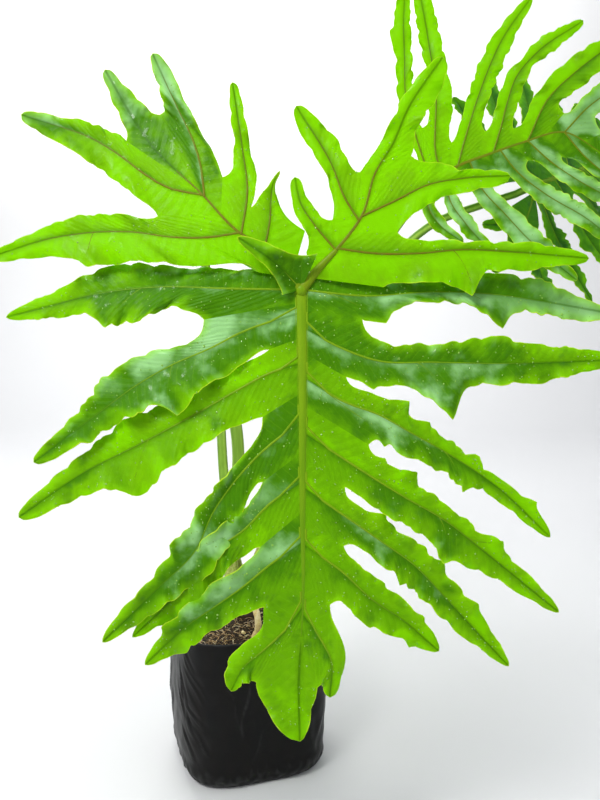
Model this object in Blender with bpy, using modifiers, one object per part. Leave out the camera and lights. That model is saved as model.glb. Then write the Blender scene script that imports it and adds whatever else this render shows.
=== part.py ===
"""Lacy tree philodendron in a black polythene grow bag, with its soil, stem, root and five leaves.

Metres, +Z up. The origin is under the middle of the bag, on the surface that it stands on.
The front leaf faces -Y. Leaf patterns are drawn in millimetres, in the leaf's own plane, with the
joint of petiole and blade at (0, 0), x across and y from the tip towards the base.
"""

import math
import random

import bmesh
import bpy
import numpy as np
from mathutils import Matrix, Vector

MM = 0.001
GAP = 0.0003  # clearance between touching pieces

# Bag and soil
BAG_HEIGHT = 0.176
BAG_HALF = 0.089  # half its width across the flats
BAG_TURN = math.radians(17)
BAG_SQUARENESS = 3.4  # 2 is round, and more is squarer
BAG_FILM = 0.0014
BAG_SEGMENTS = 40
BAG_PROFILE = (  # height, share of BAG_HALF, from the rim down
    (BAG_HEIGHT, 0.955),
    (0.150, 0.975),
    (0.110, 1.0),
    (0.060, 0.99),
    (0.030, 0.965),
    (0.014, 0.925),
    (0.005, 0.865),
    (0.0, 0.80),
)
SOIL_TOP = 0.163
SOIL_RISE = 0.006  # how much higher the soil stands at the stem
SOIL_FLOOR = 0.0045
SOIL_INSET = BAG_FILM + GAP + 0.0006  # from the bag's outside, with room for its facets

# Stem and root
STEM_RADIUS = 0.017
STEM_FOOT = 0.100
STEM_TOP = 0.226
STUB_LENGTH = 0.030
STUB_RADIUS = 0.0088
STUB_DEPTH = 0.016  # how far a stub starts inside the stem
ROOT_RADIUS = 0.0034
ROOT_ENTRY = (0.016, -0.052, SOIL_TOP)  # where the root goes into the soil
ROOT_SPANS = 14

# Leaves
BLADE_THICKNESS = 0.0012
PETIOLE_FOOT_RADIUS = 0.0066
PETIOLE_TOP_RADIUS = 0.0048
COLLAR_LENGTH = 0.014
PETIOLE_SPANS = 14
BRANCH_OVERLAP = 6.0  # mm that a base rib's bare foot runs into its web
KNUCKLE_RADIUS = 0.0066  # where the ribs and the petiole meet
VIEW_TILT = math.radians(9)  # how far the front and right blades lean back

# Leaf patterns, in millimetres
STATION = 13.0  # spacing of points along a rib
FREE_STEPS = (0.14, 0.31, 0.49, 0.67, 0.85, 1.0)  # of a lobe's free length
SCALLOP = 19.0  # length of an edge wave
SCALLOP_DEPTH = 1.6
RUFFLE_WAVE = 52.0
RIB_EDGE = 0.6  # of a rib's width: where the first row of points beside it runs
RISE_LENGTH = 40.0  # a rib reaches its own lift this far from the joint
PLAIN_BLADE = 0.62  # of a plain leaf's size: from its joint to its tip


def material(name, colour, roughness, metallic=0.0):
    """A Principled material of one colour."""
    made = bpy.data.materials.new(name)
    made.use_nodes = True
    shader = made.node_tree.nodes["Principled BSDF"]
    shader.inputs["Base Color"].default_value = (*colour, 1.0)
    shader.inputs["Roughness"].default_value = roughness
    shader.inputs["Metallic"].default_value = metallic
    return made


def link_mesh(name, bm, collection):
    """Writes bm to a new object in collection."""
    bmesh.ops.recalc_face_normals(bm, faces=bm.faces)
    mesh = bpy.data.meshes.new(name)
    bm.to_mesh(mesh)
    bm.free()
    made = bpy.data.objects.new(name, mesh)
    collection.objects.link(made)
    return made


def evaluated_mesh(source):
    """The mesh of source with its modifiers applied and loose caps welded."""
    bpy.context.view_layer.update()
    depsgraph = bpy.context.evaluated_depsgraph_get()
    mesh = bpy.data.meshes.new_from_object(source.evaluated_get(depsgraph))
    bm = bmesh.new()
    bm.from_mesh(mesh)
    bmesh.ops.remove_doubles(bm, verts=bm.verts, dist=1e-6)
    bm.to_mesh(mesh)
    bm.free()
    return mesh


def bake(source):
    """Replaces a curve, or a mesh with modifiers, by its evaluated mesh."""
    made = bpy.data.objects.new(source.name + "_mesh", evaluated_mesh(source))
    made.matrix_world = source.matrix_world
    for collection in list(source.users_collection):
        collection.objects.link(made)
    name = source.name
    bpy.data.objects.remove(source)
    made.name = name
    return made


def fuse(first, others):
    """Joins the solids in others to first by one union, and removes them."""
    helpers = bpy.data.collections.new("fused_pieces")
    bpy.context.scene.collection.children.link(helpers)
    for piece in others:
        for home in list(piece.users_collection):
            home.objects.unlink(piece)
        helpers.objects.link(piece)
    union = first.modifiers.new("union", "BOOLEAN")
    union.operation = "UNION"
    union.operand_type = "COLLECTION"
    union.collection = helpers
    union.solver = "EXACT"
    made = bake(first)
    for piece in list(helpers.objects):
        bpy.data.objects.remove(piece)
    bpy.data.collections.remove(helpers)
    return made


def cutter(name, centre, radius, length, cutters):
    """A plain upright cylinder that only cuts."""
    bm = bmesh.new()
    bmesh.ops.create_cone(
        bm, cap_ends=True, segments=16, radius1=radius, radius2=radius, depth=length,
        matrix=Matrix.Translation(centre),
    )
    made = link_mesh(name, bm, cutters)
    made.hide_render = True
    made.display_type = "WIRE"
    return made


def spline(points, fractions):
    """Points at fractions of the length of a smooth curve through points."""
    points = np.array(points, float)
    steps = np.linalg.norm(np.diff(points, axis=0), axis=1)
    knots = np.concatenate([[0.0], np.cumsum(steps)])
    slopes = np.gradient(points, knots, axis=0)
    at = np.linspace(0.0, knots[-1], 24 * len(points))
    span = np.clip(np.searchsorted(knots, at, side="right") - 1, 0, len(points) - 2)
    width = (knots[span + 1] - knots[span])[:, None]
    s = (at - knots[span])[:, None] / width
    dense = (
        (2 * s**3 - 3 * s**2 + 1) * points[span]
        + (s**3 - 2 * s**2 + s) * width * slopes[span]
        + (3 * s**2 - 2 * s**3) * points[span + 1]
        + (s**3 - s**2) * width * slopes[span + 1]
    )
    run = np.concatenate([[0.0], np.cumsum(np.linalg.norm(np.diff(dense, axis=0), axis=1))])
    wanted = np.array(fractions, float) * run[-1]
    return np.stack([np.interp(wanted, run, column) for column in dense.T], axis=1)


def length_of(points):
    """The length of the smooth curve through points."""
    fine = spline(points, np.linspace(0, 1, 60))
    return float(np.linalg.norm(np.diff(fine, axis=0), axis=1).sum())


# Leaf patterns


def lobe(start, vein, near, far, gap, twist=7.0, lift=0.0, teeth=()):
    """One lobe. start: where its vein leaves the rib, along the rib. near and far: its half widths
    on the sides towards the rib's foot and tip. gap: the bottom of the notch after it. twist: how
    far its far half turns towards the viewer, in degrees. teeth: (side, place, height)."""
    return dict(
        start=start, vein=vein, near=near, far=far, gap=gap, twist=twist, lift=lift, teeth=teeth
    )


def side(first, lobes, tip):
    """The lobes on one side of a rib. first: the bottom of the notch before them. tip: the half
    widths of the rib's own end lobe on this side."""
    return dict(first=first, lobes=lobes, tip=tip)


def rib(points, foot, end, width, sides, lift=0.0):
    """A rib with its two sides. foot and end: where its web starts and where its end lobe starts,
    along the rib. width: the rib's own width at its foot and tip. lift: how far it stands towards
    the viewer."""
    return dict(points=points, foot=foot, end=end, width=width, sides=sides, lift=lift)


def front_midrib():
    """The lower part of the front blade: seven lobes a side and the tip."""
    right = side((24, 6), (
        lobe(0, ((0, 0), (53, -5), (105, -2), (157, -4), (191, -9), (252, -20)),
             (9, 10, 12, 16, 13, 8), (20, 17, 14, 18, 17, 11), (49, -24), 12, -6,
             (("far", 0.62, 11), ("far", 0.2, 5))),
        lobe(29, ((4, -29), (35, -48), (62, -57), (105, -58), (157, -59), (254, -56)),
             (15, 17, 18, 18, 14, 8), (22, 23, 24, 18, 15, 9), (36, -70), 8, 3,
             (("far", 0.42, 24),)),
        lobe(70, ((4, -70), (35, -90), (62, -100), (87, -114), (122, -134), (157, -158), (199, -198)),
             (12, 18, 17, 13, 12, 8), (14, 14, 14, 17, 13, 8), (54, -124), 8, 0,
             (("near", 0.3, 5), ("far", 0.3, 4), ("far", 0.6, 6))),
        lobe(113, ((4, -113), (26, -130), (49, -145), (81, -165), (114, -184), (146, -209), (206, -258)),
             (12, 17, 18, 15, 14, 9), (13, 13, 15, 17, 14, 8), (35, -158), 8, 0,
             (("near", 0.25, 5), ("near", 0.74, 6), ("far", 0.66, 7))),
        lobe(158, ((3, -158), (32, -179), (65, -202), (90, -220), (114, -245), (138, -271), (166, -301)),
             (10, 15, 16, 14, 13, 8), (12, 15, 16, 14, 12, 7), (34, -205), 7, 0),
        lobe(204, ((2, -204), (32, -225), (57, -248), (81, -264), (110, -289)),
             (10, 14, 15, 12, 8), (14, 18, 18, 14, 8), (23, -252), 6, 0),
        lobe(259, ((1, -259), (14, -277), (24, -297), (23, -326)),
             (6, 9, 10, 9, 6), (9, 8, 6, 5, 3), (12, -313), 4, -3),
    ), (14, 14, 12, 9, 5))
    left = side((-16, 14), (
        lobe(0, ((0, 0), (-62, 1), (-116, 2), (-161, -3), (-205, -14), (-236, -22)),
             (15, 16, 15, 21, 12, 8), (20, 25, 18, 27, 15, 8), (-76, -24), 10, -3,
             (("near", 0.7, 4), ("far", 0.56, 6))),
        lobe(18, ((1, -18), (-48, -34), (-71, -46), (-105, -61), (-134, -78), (-161, -98), (-214, -138)),
             (12, 11, 19, 21, 11, 7), (14, 24, 26, 21, 14, 8), (-26, -48), 11, 8,
             (("far", 0.28, 18),)),
        lobe(57, ((1, -57), (-26, -67), (-54, -82), (-82, -98), (-134, -126), (-170, -144), (-226, -182)),
             (7, 9, 16, 23, 14, 7), (27, 23, 27, 33, 18, 11), (-31, -102), 9, -2,
             (("far", 0.52, 8),)),
        lobe(104, ((1, -104), (-33, -131), (-54, -154), (-70, -177), (-85, -209), (-115, -239), (-159, -282)),
             (9, 9, 10, 18, 15, 8), (12, 11, 9, 8, 8, 6), (-31, -154), 7, 5),
        lobe(153, ((1, -153), (-24, -170), (-46, -192), (-70, -209), (-100, -244), (-135, -278)),
             (10, 9, 6, 6, 7, 5), (12, 14, 14, 12, 9, 6), (-33, -206), 6, -5),
        lobe(202, ((0, -202), (-24, -219), (-46, -237), (-70, -254), (-93, -270), (-125, -300)),
             (10, 12, 13, 12, 10, 7), (20, 18, 16, 16, 14, 8), (-30, -254), 6, 0),
        lobe(254, ((0, -254), (-11, -270), (-31, -289), (-46, -302), (-56, -321)),
             (13, 12, 12, 13, 9), (10, 13, 11, 7, 4), (-36, -314), 5, 3),
    ), (34, 31, 26, 20, 13))
    spine = ((0, 0), (1, -65), (1, -170), (1, -260), (0, -277), (-2, -314), (-1, -361))
    return rib(spine, 0, 281, (9.0, 2.2), dict(right=right, left=left))


def front_right_base():
    """The bright upper right part of the front blade."""
    outer = side((66, 2), (
        lobe(44, ((30, 34), (58, 29), (93, 29), (129, 32), (171, 30), (230, 25)),
             (24, 25, 24, 16, 14, 7), (14, 11, 7, 7, 9, 6), (77, 46), -4, 4,
             (("near", 0.44, 17),)),
        lobe(76, ((49, 60), (75, 71), (102, 84), (129, 89), (167, 91)),
             (20, 18, 14, 11, 8), (20, 16, 9, 6, 5), (88, 107), -4, 0),
    ), (19, 14, 15, 16, 11))
    inner = side((3, 20), (
        lobe(42, ((29, 33), (9, 54), (0, 68), (-5, 90)),
             (8, 9, 7, 5), (8, 9, 7, 5), (25, 56), 6, 0),
        lobe(72, ((47, 56), (34, 75), (26, 96), (-4, 147)),
             (10, 9, 8, 10, 7), (16, 14, 14, 11, 7), (47, 94), 6, 0),
    ), (11, 12, 8, 8, 6))
    spine = ((0, 0), (13, 16), (30, 34), (49, 60), (59, 93), (74, 118), (84, 142), (113, 186))
    return rib(spine, 12, 92, (5.2, 2.0), dict(outer=outer, inner=inner), 6.0)


def front_left_base():
    """The upper left part of the front blade."""
    outer = side((-34, 14), (
        lobe(68, ((-50, 46), (-73, 42), (-103, 42), (-134, 46), (-164, 46), (-195, 42), (-249, 26)),
             (19, 20, 24, 25, 17, 9), (17, 13, 14, 14, 9, 6), (-115, 59), -3, 2,
             (("near", 0.62, 6),)),
        lobe(111, ((-82, 79), (-108, 82), (-126, 93), (-149, 110), (-172, 123), (-195, 131), (-224, 140)),
             (18, 20, 19, 15, 8), (17, 12, 11, 8, 6), (-140, 119), -3, 0),
    ), (10, 10, 9, 7, 5))
    inner = side((-12, 50), (
        lobe(44, ((-28, 32), (-25, 56), (-22, 74), (-18, 94)),
             (9, 7, 6, 4), (13, 9, 6, 4), (-40, 66), 5, 0),
        lobe(66, ((-48, 44), (-43, 79), (-47, 112), (-51, 140), (-55, 166)),
             (7, 9, 7, 6, 5), (13, 9, 6, 6, 4), (-63, 90), 9, 0),
        lobe(109, ((-82, 77), (-81, 102), (-86, 118), (-98, 143), (-119, 189)),
             (13, 10, 9, 9, 7), (11, 9, 7, 5), (-113, 140), 5, 0),
    ), (15, 15, 12, 8, 5))
    spine = (
        (0, 0), (-28, 32), (-50, 46), (-82, 79), (-103, 98), (-118, 113), (-130, 130), (-157, 176)
    )
    return rib(spine, 12, 126, (5.2, 2.0), dict(outer=outer, inner=inner), 4.0)


def front_curl():
    """The small dark lobe that curls forward over the left base."""
    upper = side((6, 22), (), (13, 12, 9, 5))
    lower = side((-15, -4), (), (12, 9, 6, 4))
    spine = ((0, 0), (-12, 13), (-24, 24), (-37, 33), (-51, 42))
    return rib(spine, 0, 10, (4.0, 2.0), dict(upper=upper, lower=lower), 22.0)


def front_leaf():
    """The large leaf that faces the viewer."""
    ribs = [front_midrib(), front_right_base(), front_left_base(), front_curl()]
    return dict(ribs=ribs, droop=(0.00040, 0.00012, 0.00055), focus=(-1, -88, 640), ruffle=3.0)


def right_leaf():
    """The leaf behind on the right. Its upper lobes stand, and its lower ones reach forward."""
    upper = side((-14, 20), (
        lobe(0, ((0, 0), (-14, 40), (-28, 90), (-30, 140), (-31, 176), (-29, 214)),
             (7, 9, 9, 8, 7), (10, 10, 9, 8, 6), (-10, 60), 5, 0, (("near", 0.75, 6),)),
        lobe(14, ((10, 6), (4, 34), (4, 60), (5, 90), (-3, 152), (-14, 214)),
             (8, 10, 11, 10, 7), (16, 19, 15, 11, 7), (22, 44), 5, 0),
        lobe(33, ((29, 21), (39, 55), (50, 90), (64, 128), (77, 156), (110, 204)),
             (12, 11, 12, 11, 7), (14, 12, 13, 12, 7), (59, 56), 6, 0),
        lobe(75, ((67, 34), (77, 63), (84, 90), (94, 117), (114, 141), (167, 178)),
             (13, 12, 11, 8, 10, 7), (12, 13, 12, 8, 11, 7), (90, 59), 8, 0),
        lobe(116, ((105, 46), (130, 94), (157, 120), (185, 142), (230, 172)),
             (12, 14, 16, 14, 8), (13, 17, 17, 14, 8), (146, 76), 6, 0),
        lobe(157, ((146, 55), (174, 84), (202, 103), (250, 124)),
             (10, 14, 14, 8), (11, 15, 13, 8), (188, 54), 6, 0),
        lobe(205, ((190, 30), (222, 48), (246, 58), (282, 62)),
             (10, 12, 11, 7), (10, 12, 10, 6), (226, 26), 5, 0),
    ), (15, 15, 13, 9, 5))
    lower = side((-12, -10), (
        lobe(0, ((0, 0), (-4, -26), (8, -46), (35, -66)),
             (7, 9, 8, 5), (8, 9, 8, 5), (14, -16), 5, 10),
        lobe(20, ((17, 10), (20, -19), (38, -46), (70, -80)),
             (8, 9, 9, 6), (9, 11, 9, 6), (34, 2), 5, 20),
        lobe(48, ((42, 26), (56, -8), (79, -33), (104, -60), (160, -108)),
             (11, 13, 14, 15, 8), (10, 12, 14, 15, 8), (76, 8), 5, 30),
        lobe(84, ((76, 34), (92, 14), (127, -14), (168, -38), (216, -76)),
             (9, 12, 13, 12, 7), (9, 11, 12, 11, 7), (106, 24), 5, 34),
        lobe(116, ((105, 46), (132, 22), (160, 3), (190, -14), (232, -44)),
             (9, 11, 12, 10, 6), (9, 11, 11, 10, 6), (143, 28), 5, 30),
        lobe(157, ((146, 55), (168, 29), (198, 5), (244, -18)),
             (9, 9, 9, 6), (9, 8, 9, 6), (200, 17), 5, 24),
    ), (15, 14, 12, 9, 5))
    spine = ((0, 0), (27, 17), (66, 32), (101, 44), (146, 55), (185, 34), (224, 12), (262, -10), (292, -34))
    ribs = [rib(spine, 0, 228, (5.6, 2.0), dict(upper=upper, lower=lower))]
    return dict(ribs=ribs, droop=(0.0, 0.0, 0.00025), focus=(-145, -240, 880), ruffle=3.5)


def scaled(points, size, sign):
    """Points given as shares of a leaf's size, on its right (1) or left (-1) side."""
    return tuple((sign * size * x, size * y) for x, y in points)


def plain_half(size, lobes, sign, draw):
    """One side of a plain leaf: its lobes shorten and lean towards the tip."""
    blade = PLAIN_BLADE * size
    starts = [0.80 * blade * (i / lobes) ** 0.92 for i in range(lobes)] + [0.84 * blade]
    made = []
    for i, (start, after) in enumerate(zip(starts, starts[1:])):
        reach = size * (0.50 - 0.30 * i / lobes) * draw.uniform(0.94, 1.05)
        lean = math.radians(6 + 44 * i / lobes)
        out = Vector((sign * math.cos(lean), -math.sin(lean)))
        vein = []
        for t in (0, 0.3, 0.65, 1):
            rise = 0.07 * reach * math.sin(math.pi * t)
            vein.append((reach * t * out.x, reach * t * out.y - start + rise))
        wide = size * 0.036 * draw.uniform(0.9, 1.15)
        shape = (0.9 * wide, wide, wide * draw.uniform(1.0, 1.25), 0.7 * wide)
        notch = (size * 0.085 * out.x, size * 0.06 * out.y - (start + after) / 2)
        teeth = (("far", 0.5, 0.35 * wide),)
        made.append(lobe(start, vein, shape, shape, notch, 7.0, 0.0, teeth))
    end = size * 0.05
    first = (sign * size * 0.04, size * 0.03)
    return side(first, tuple(made), (end, end * 1.1, end * 0.8, end * 0.4))


def plain_base(size, sign):
    """One base rib of a plain leaf, with a lobe on each side of it."""

    def half(first, vein, near, far, gap, tip):
        first, vein, gap = (scaled(points, size, sign) for points in ((first,), vein, (gap,)))
        near, far, tip = ([size * share for share in shares] for shares in (near, far, tip))
        return side(first[0], (lobe(size * 0.17, vein, near, far, gap[0], 5.0),), tip)

    outer = half(
        (0.15, 0.08), ((0.115, 0.13), (0.26, 0.15), (0.42, 0.17)),
        (0.042, 0.05, 0.03), (0.04, 0.045, 0.025), (0.24, 0.195), (0.04, 0.045, 0.025),
    )
    inner = half(
        (0.045, 0.16), ((0.115, 0.13), (0.10, 0.22), (0.07, 0.32)),
        (0.03, 0.03, 0.018), (0.03, 0.03, 0.018), (0.135, 0.235), (0.035, 0.035, 0.02),
    )
    spine = scaled(((0, 0), (0.09, 0.10), (0.17, 0.20), (0.24, 0.36)), size, sign)
    sides = dict(outer=outer, inner=inner)
    return rib(spine, size * 0.035, size * 0.25, (4.2, 1.9), sides, 3.0)


def plain_leaf(size, lobes, seed):
    """A leaf by rule, for those that the front leaf hides: a midrib and two base ribs."""
    draw = random.Random(seed)
    blade = PLAIN_BLADE * size
    spine = ((0, 0), (0, -0.3 * blade), (0, -0.7 * blade), (0, -blade))
    sides = {way: plain_half(size, lobes, sign, draw) for way, sign in (("right", 1), ("left", -1))}
    ribs = [
        rib(spine, 0, 0.84 * blade, (6.0, 2.0), sides),
        plain_base(size, 1),
        plain_base(size, -1),
    ]
    return dict(ribs=ribs, droop=(0.0005, 0.0006, 0.0006), focus=None, ruffle=3.0)


# From a pattern to a blade


def half_width(values, t):
    """A half width at t, from even values, running out in a rounded tip at 1."""
    knots = np.linspace(0.0, 0.88, len(values))
    wide = float(np.interp(t, knots, values))
    return wide * max(0.0, 1.0 - max(0.0, (t - 0.8) / 0.2) ** 2) ** 0.6


def edge_wave(along, phase):
    """Shallow scallops with sharp notches between them, from -1 to 1."""
    return 2.0 * abs(math.sin(math.pi * along / SCALLOP + phase)) ** 0.7 - 1.25


def tooth(teeth, which, t):
    """The height that the listed teeth add at t: a slow rise and a steep end."""
    total = 0.0
    for where, place, height in teeth:
        if where == which:
            d = t - place
            total += height * max(0.0, 1.0 - (abs(d) / (0.17 if d < 0 else 0.07)))
    return total


def place_on_blade(leaf, point, height):
    """A point of the pattern, height towards the viewer, after the blade's own droop."""
    x, y = float(point[0]), float(point[1])
    wide, down, up = leaf["droop"]
    height -= wide * x * x + (down * y * y if y < 0 else up * y * y)
    if leaf["focus"]:
        fx, fy, distance = leaf["focus"]
        share = height / distance
        x, y = x - share * (x - fx), y - share * (y - fy)
    return Vector((x, y, height))


def rows(shaft, piece, which, notch, web_from):
    """The inner and outer lines of one half lobe, with where their points are along the vein.

    The inner line is the lobe's vein, and the outer one runs up the web to the notch and then
    along the edge. The neighbour's half lobe has the same web line."""
    vein = piece["vein"]
    long = length_of(vein)
    split = piece["split"]
    rib_edge = shaft["width"][0] * RIB_EDGE
    base = spline(vein, [split])[0]
    fractions = [0.0, min(rib_edge / long, split * 0.6), split]
    fractions += [split + (1 - split) * t for t in FREE_STEPS]
    inner = spline(vein, fractions)
    web = np.array(notch, float) - web_from
    reach = max(1.0, float(np.linalg.norm(web)))
    outer = [web_from, web_from + web * min(rib_edge / reach, 0.6), np.array(notch, float)]
    ahead = spline(vein, [min(1.0, f + 0.01) for f in fractions])
    ahead -= spline(vein, [f - 0.01 for f in fractions])
    ahead /= np.maximum(np.linalg.norm(ahead, axis=1), 1e-9)[:, None]
    normal = np.stack([-ahead[:, 1], ahead[:, 0]], axis=1)
    aside = float(np.dot(normal[2], np.array(notch) - base))
    before = float(np.dot(ahead[2], np.array(notch) - base))
    for k, t in enumerate(FREE_STEPS):
        wide = half_width(piece[which], t) + tooth(piece["teeth"], which, t)
        wave = edge_wave(long * fractions[3 + k], piece["phase"])
        wide += SCALLOP_DEPTH * wave * math.sin(math.pi * t)
        blend = min(1.0, t / 0.2)
        wide = abs(aside) * (1 - blend) + max(wide, 0.0) * blend
        step = normal[3 + k] * math.copysign(wide, aside) + ahead[3 + k] * before * (1 - t) ** 1.5
        outer.append(inner[3 + k] + step)
    return inner, np.array(outer), fractions, long


def half_lobe(bm, leaf, shaft, piece, which, stations, indices, notch):
    """Adds one half lobe to bm as a grid, from the vein to the edge."""
    start, web_index = indices
    across = max(1, abs(start - web_index))
    inner, outer, fractions, long = rows(shaft, piece, which, notch, stations[web_index])
    count = len(inner) - 1
    made = bmesh.ops.create_grid(bm, x_segments=count, y_segments=across, size=0.5)
    sign = 1.0 if which == "far" else -1.0
    slope = math.tan(math.radians(piece["twist"]))
    for vert in made["verts"]:
        k = round((vert.co.x + 0.5) * count)
        b = vert.co.y + 0.5
        if k == 0 and start != web_index:
            j = start + round(b * across) * (1 if web_index > start else -1)
            flat, height = stations[j], 0.0
        else:
            flat = inner[k] * (1 - b) + outer[k] * b
            free = max(0.0, (fractions[k] - piece["split"]) / (1 - piece["split"]))
            wide = float(np.linalg.norm(outer[k] - inner[k]))
            fade = min(1.0, free * 4.5)
            turn = 2 * math.pi * long * fractions[k] / RUFFLE_WAVE
            wave = math.sin(turn + piece["phase"] + sign)
            ruffle = leaf["ruffle"] * min(1.0, wide / 8.0)
            height = fade * (sign * slope * wide * b + ruffle * b * b * wave)
            height += piece["lift"] * free**1.5
        vert.co = place_on_blade(leaf, flat, height + shaft["lift"] * shaft_rise(flat))


def shaft_rise(flat):
    """How much of a rib's own lift a point has: none at the joint, all of it further out."""
    return min(1.0, float(np.linalg.norm(flat)) / RISE_LENGTH)


def split_of(piece, notches):
    """Where along its vein a lobe leaves the web, from the notches beside it."""
    fine = spline(piece["vein"], np.linspace(0, 1, 80))
    nearest = [int(np.argmin(np.linalg.norm(fine - np.array(n), axis=1))) / 79 for n in notches]
    return min(0.65, max(0.10, sum(nearest) / len(nearest)))


def blade_sheet(leaf, shaft, seed):
    """One rib's sheet as an open bmesh in pattern space, with its rib thickness in a layer."""
    draw = random.Random(seed)
    long = length_of(shaft["points"])
    steps = max(4, round(long / STATION))
    stations = spline(shaft["points"], [i / steps for i in range(steps + 1)])

    def index(distance):
        return min(steps - 2, round(distance / long * steps))

    end = index(shaft["end"])
    bm = bmesh.new()
    halves = shaft["sides"].values()
    last_notches = [half["lobes"][-1]["gap"] if half["lobes"] else half["first"] for half in halves]
    tail = [tuple(stations[i]) for i in range(end, steps + 1)]
    tip = dict(vein=tail, twist=2.0, lift=0.0, teeth=(), phase=0.0)
    tip["split"] = split_of(tip, last_notches)
    for half in halves:
        notch, before = half["first"], index(shaft["foot"])
        starts = [piece["start"] for piece in half["lobes"]] + [shaft["end"]]
        for piece, following in zip(half["lobes"], starts[1:]):
            start = index(piece["start"])
            after = (start + index(following) + 1) // 2 if index(following) > start else start
            piece = dict(piece, phase=draw.uniform(0, 6.28))
            piece["split"] = split_of(piece, [notch, piece["gap"]])
            piece["vein"] = (tuple(stations[start]),) + tuple(piece["vein"][1:])
            half_lobe(bm, leaf, shaft, piece, "near", stations, (start, before), notch)
            half_lobe(bm, leaf, shaft, piece, "far", stations, (start, after), piece["gap"])
            notch, before = piece["gap"], after
        end_half = dict(tip, near=half["tip"])
        half_lobe(bm, leaf, shaft, end_half, "near", stations, (end, before), notch)
    bmesh.ops.remove_doubles(bm, verts=bm.verts, dist=0.05)
    return bm, stations


def blade_solid(name, leaf, shaft, seed, collection):
    """One rib's sheet with its thickness, thicker along the rib, scaled to metres."""
    bm, stations = blade_sheet(leaf, shaft, seed)
    bmesh.ops.triangulate(bm, faces=bm.faces)
    lines = [place_on_blade(leaf, p, shaft["lift"] * shaft_rise(p)) for p in stations]
    bmesh.ops.recalc_face_normals(bm, faces=bm.faces)
    made = link_mesh(name, bm, collection)
    group = made.vertex_groups.new(name="thickness")
    full = shaft["width"][0]
    thin = BLADE_THICKNESS / MM
    for vert in made.data.vertices:
        distance, place = min(((vert.co - p).length, i) for i, p in enumerate(lines))
        share = place / (len(lines) - 1)
        on_rib = full * (1 - share) + shaft["width"][1] * share
        group.add([vert.index], (on_rib if distance < 0.5 else thin) / full, "REPLACE")
    solid = made.modifiers.new("thickness", "SOLIDIFY")
    solid.thickness = full
    solid.offset = 0.0
    solid.vertex_group = group.name
    made = bake(made)
    made.data.transform(Matrix.Scale(MM, 4))
    return made


def ball(name, centre, radius, collection, segments=10):
    """A small ball."""
    bm = bmesh.new()
    bmesh.ops.create_uvsphere(
        bm, u_segments=segments, v_segments=segments - 3, radius=radius,
        matrix=Matrix.Translation(centre),
    )
    return link_mesh(name, bm, collection)


def rod(name, start, end, radii, collection, segments=12):
    """A straight tapered rod between two points."""
    start, end = Vector(start), Vector(end)
    way = end - start
    turn = way.to_track_quat("Z", "Y").to_matrix().to_4x4()
    bm = bmesh.new()
    bmesh.ops.create_cone(
        bm, cap_ends=True, segments=segments, radius1=radii[0], radius2=radii[1],
        depth=way.length, matrix=Matrix.Translation((start + end) / 2) @ turn,
    )
    return link_mesh(name, bm, collection)


def blade(name, leaf, frame, arrival, paint, collection):
    """A whole blade: its ribs' sheets, the knuckle they meet in and the collar of the petiole."""
    sheets = [
        blade_solid(f"{name}_sheet_{i}", leaf, shaft, 11 * i + len(name), collection)
        for i, shaft in enumerate(leaf["ribs"])
    ]
    for sheet in sheets:
        sheet.data.transform(frame)
    joint = frame.translation
    knuckle = ball(f"{name}_knuckle", joint, KNUCKLE_RADIUS, collection)
    collar = rod(
        f"{name}_collar", joint - arrival * COLLAR_LENGTH, joint + arrival * 0.002,
        (PETIOLE_TOP_RADIUS, PETIOLE_TOP_RADIUS * 1.05), collection,
    )
    branches = []
    for i, shaft in enumerate(leaf["ribs"]):
        if shaft["foot"] > 0:
            reach = (shaft["foot"] + BRANCH_OVERLAP) / length_of(shaft["points"])
            flat = spline(shaft["points"], [reach])[0]
            far_end = frame @ (place_on_blade(leaf, flat, shaft["lift"] * shaft_rise(flat)) * MM)
            radius = shaft["width"][0] * MM / 2
            branches.append(
                rod(f"{name}_branch_{i}", joint, far_end, (radius * 1.15, radius), collection, 10)
            )
    made = fuse(sheets[0], sheets[1:] + branches + [knuckle, collar])
    made.name = name
    made.data.materials.clear()
    made.data.materials.append(paint)
    made.data.set_sharp_from_angle(angle=math.radians(40))
    return made


def round_line(name, path, radii, resolution, paint, collection):
    """A round bar along path with its own radius at each point."""
    curve = bpy.data.curves.new(name, "CURVE")
    curve.dimensions = "3D"
    curve.bevel_depth = 1.0
    curve.bevel_resolution = resolution
    curve.use_fill_caps = True
    line = curve.splines.new("POLY")
    line.points.add(len(path) - 1)
    for point, place, radius in zip(line.points, path, radii):
        point.co = (*place, 1.0)
        point.radius = radius
    curve.materials.append(paint)
    made = bpy.data.objects.new(name, curve)
    collection.objects.link(made)
    return made


def petiole(name, points, paint, collection):
    """A tapered round stalk along a smooth curve through points, straight at both ends."""
    inner = spline(points[1:-1], [i / PETIOLE_SPANS for i in range(PETIOLE_SPANS + 1)])
    path = [points[0], *inner, points[-1]]
    shares = [(i / (len(path) - 1)) ** 0.7 for i in range(len(path))]
    radii = [PETIOLE_FOOT_RADIUS * (1 - share) + PETIOLE_TOP_RADIUS * share for share in shares]
    return round_line(name, path, radii, 3, paint, collection)


# Bag, soil, stem and root


def turned(name, profile, collection):
    """A profile in radius and height turned round the Z axis."""
    bm = bmesh.new()
    verts = [bm.verts.new((radius, 0.0, height)) for radius, height in profile]
    for a, b in zip(verts, verts[1:]):
        bm.edges.new((a, b))
    mesh = bpy.data.meshes.new(name)
    bm.to_mesh(mesh)
    bm.free()
    made = bpy.data.objects.new(name, mesh)
    collection.objects.link(made)
    screw = made.modifiers.new("turn", "SCREW")
    screw.steps = screw.render_steps = BAG_SEGMENTS
    screw.use_merge_vertices = True
    screw.merge_threshold = 1e-5
    return bake(made)


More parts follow.
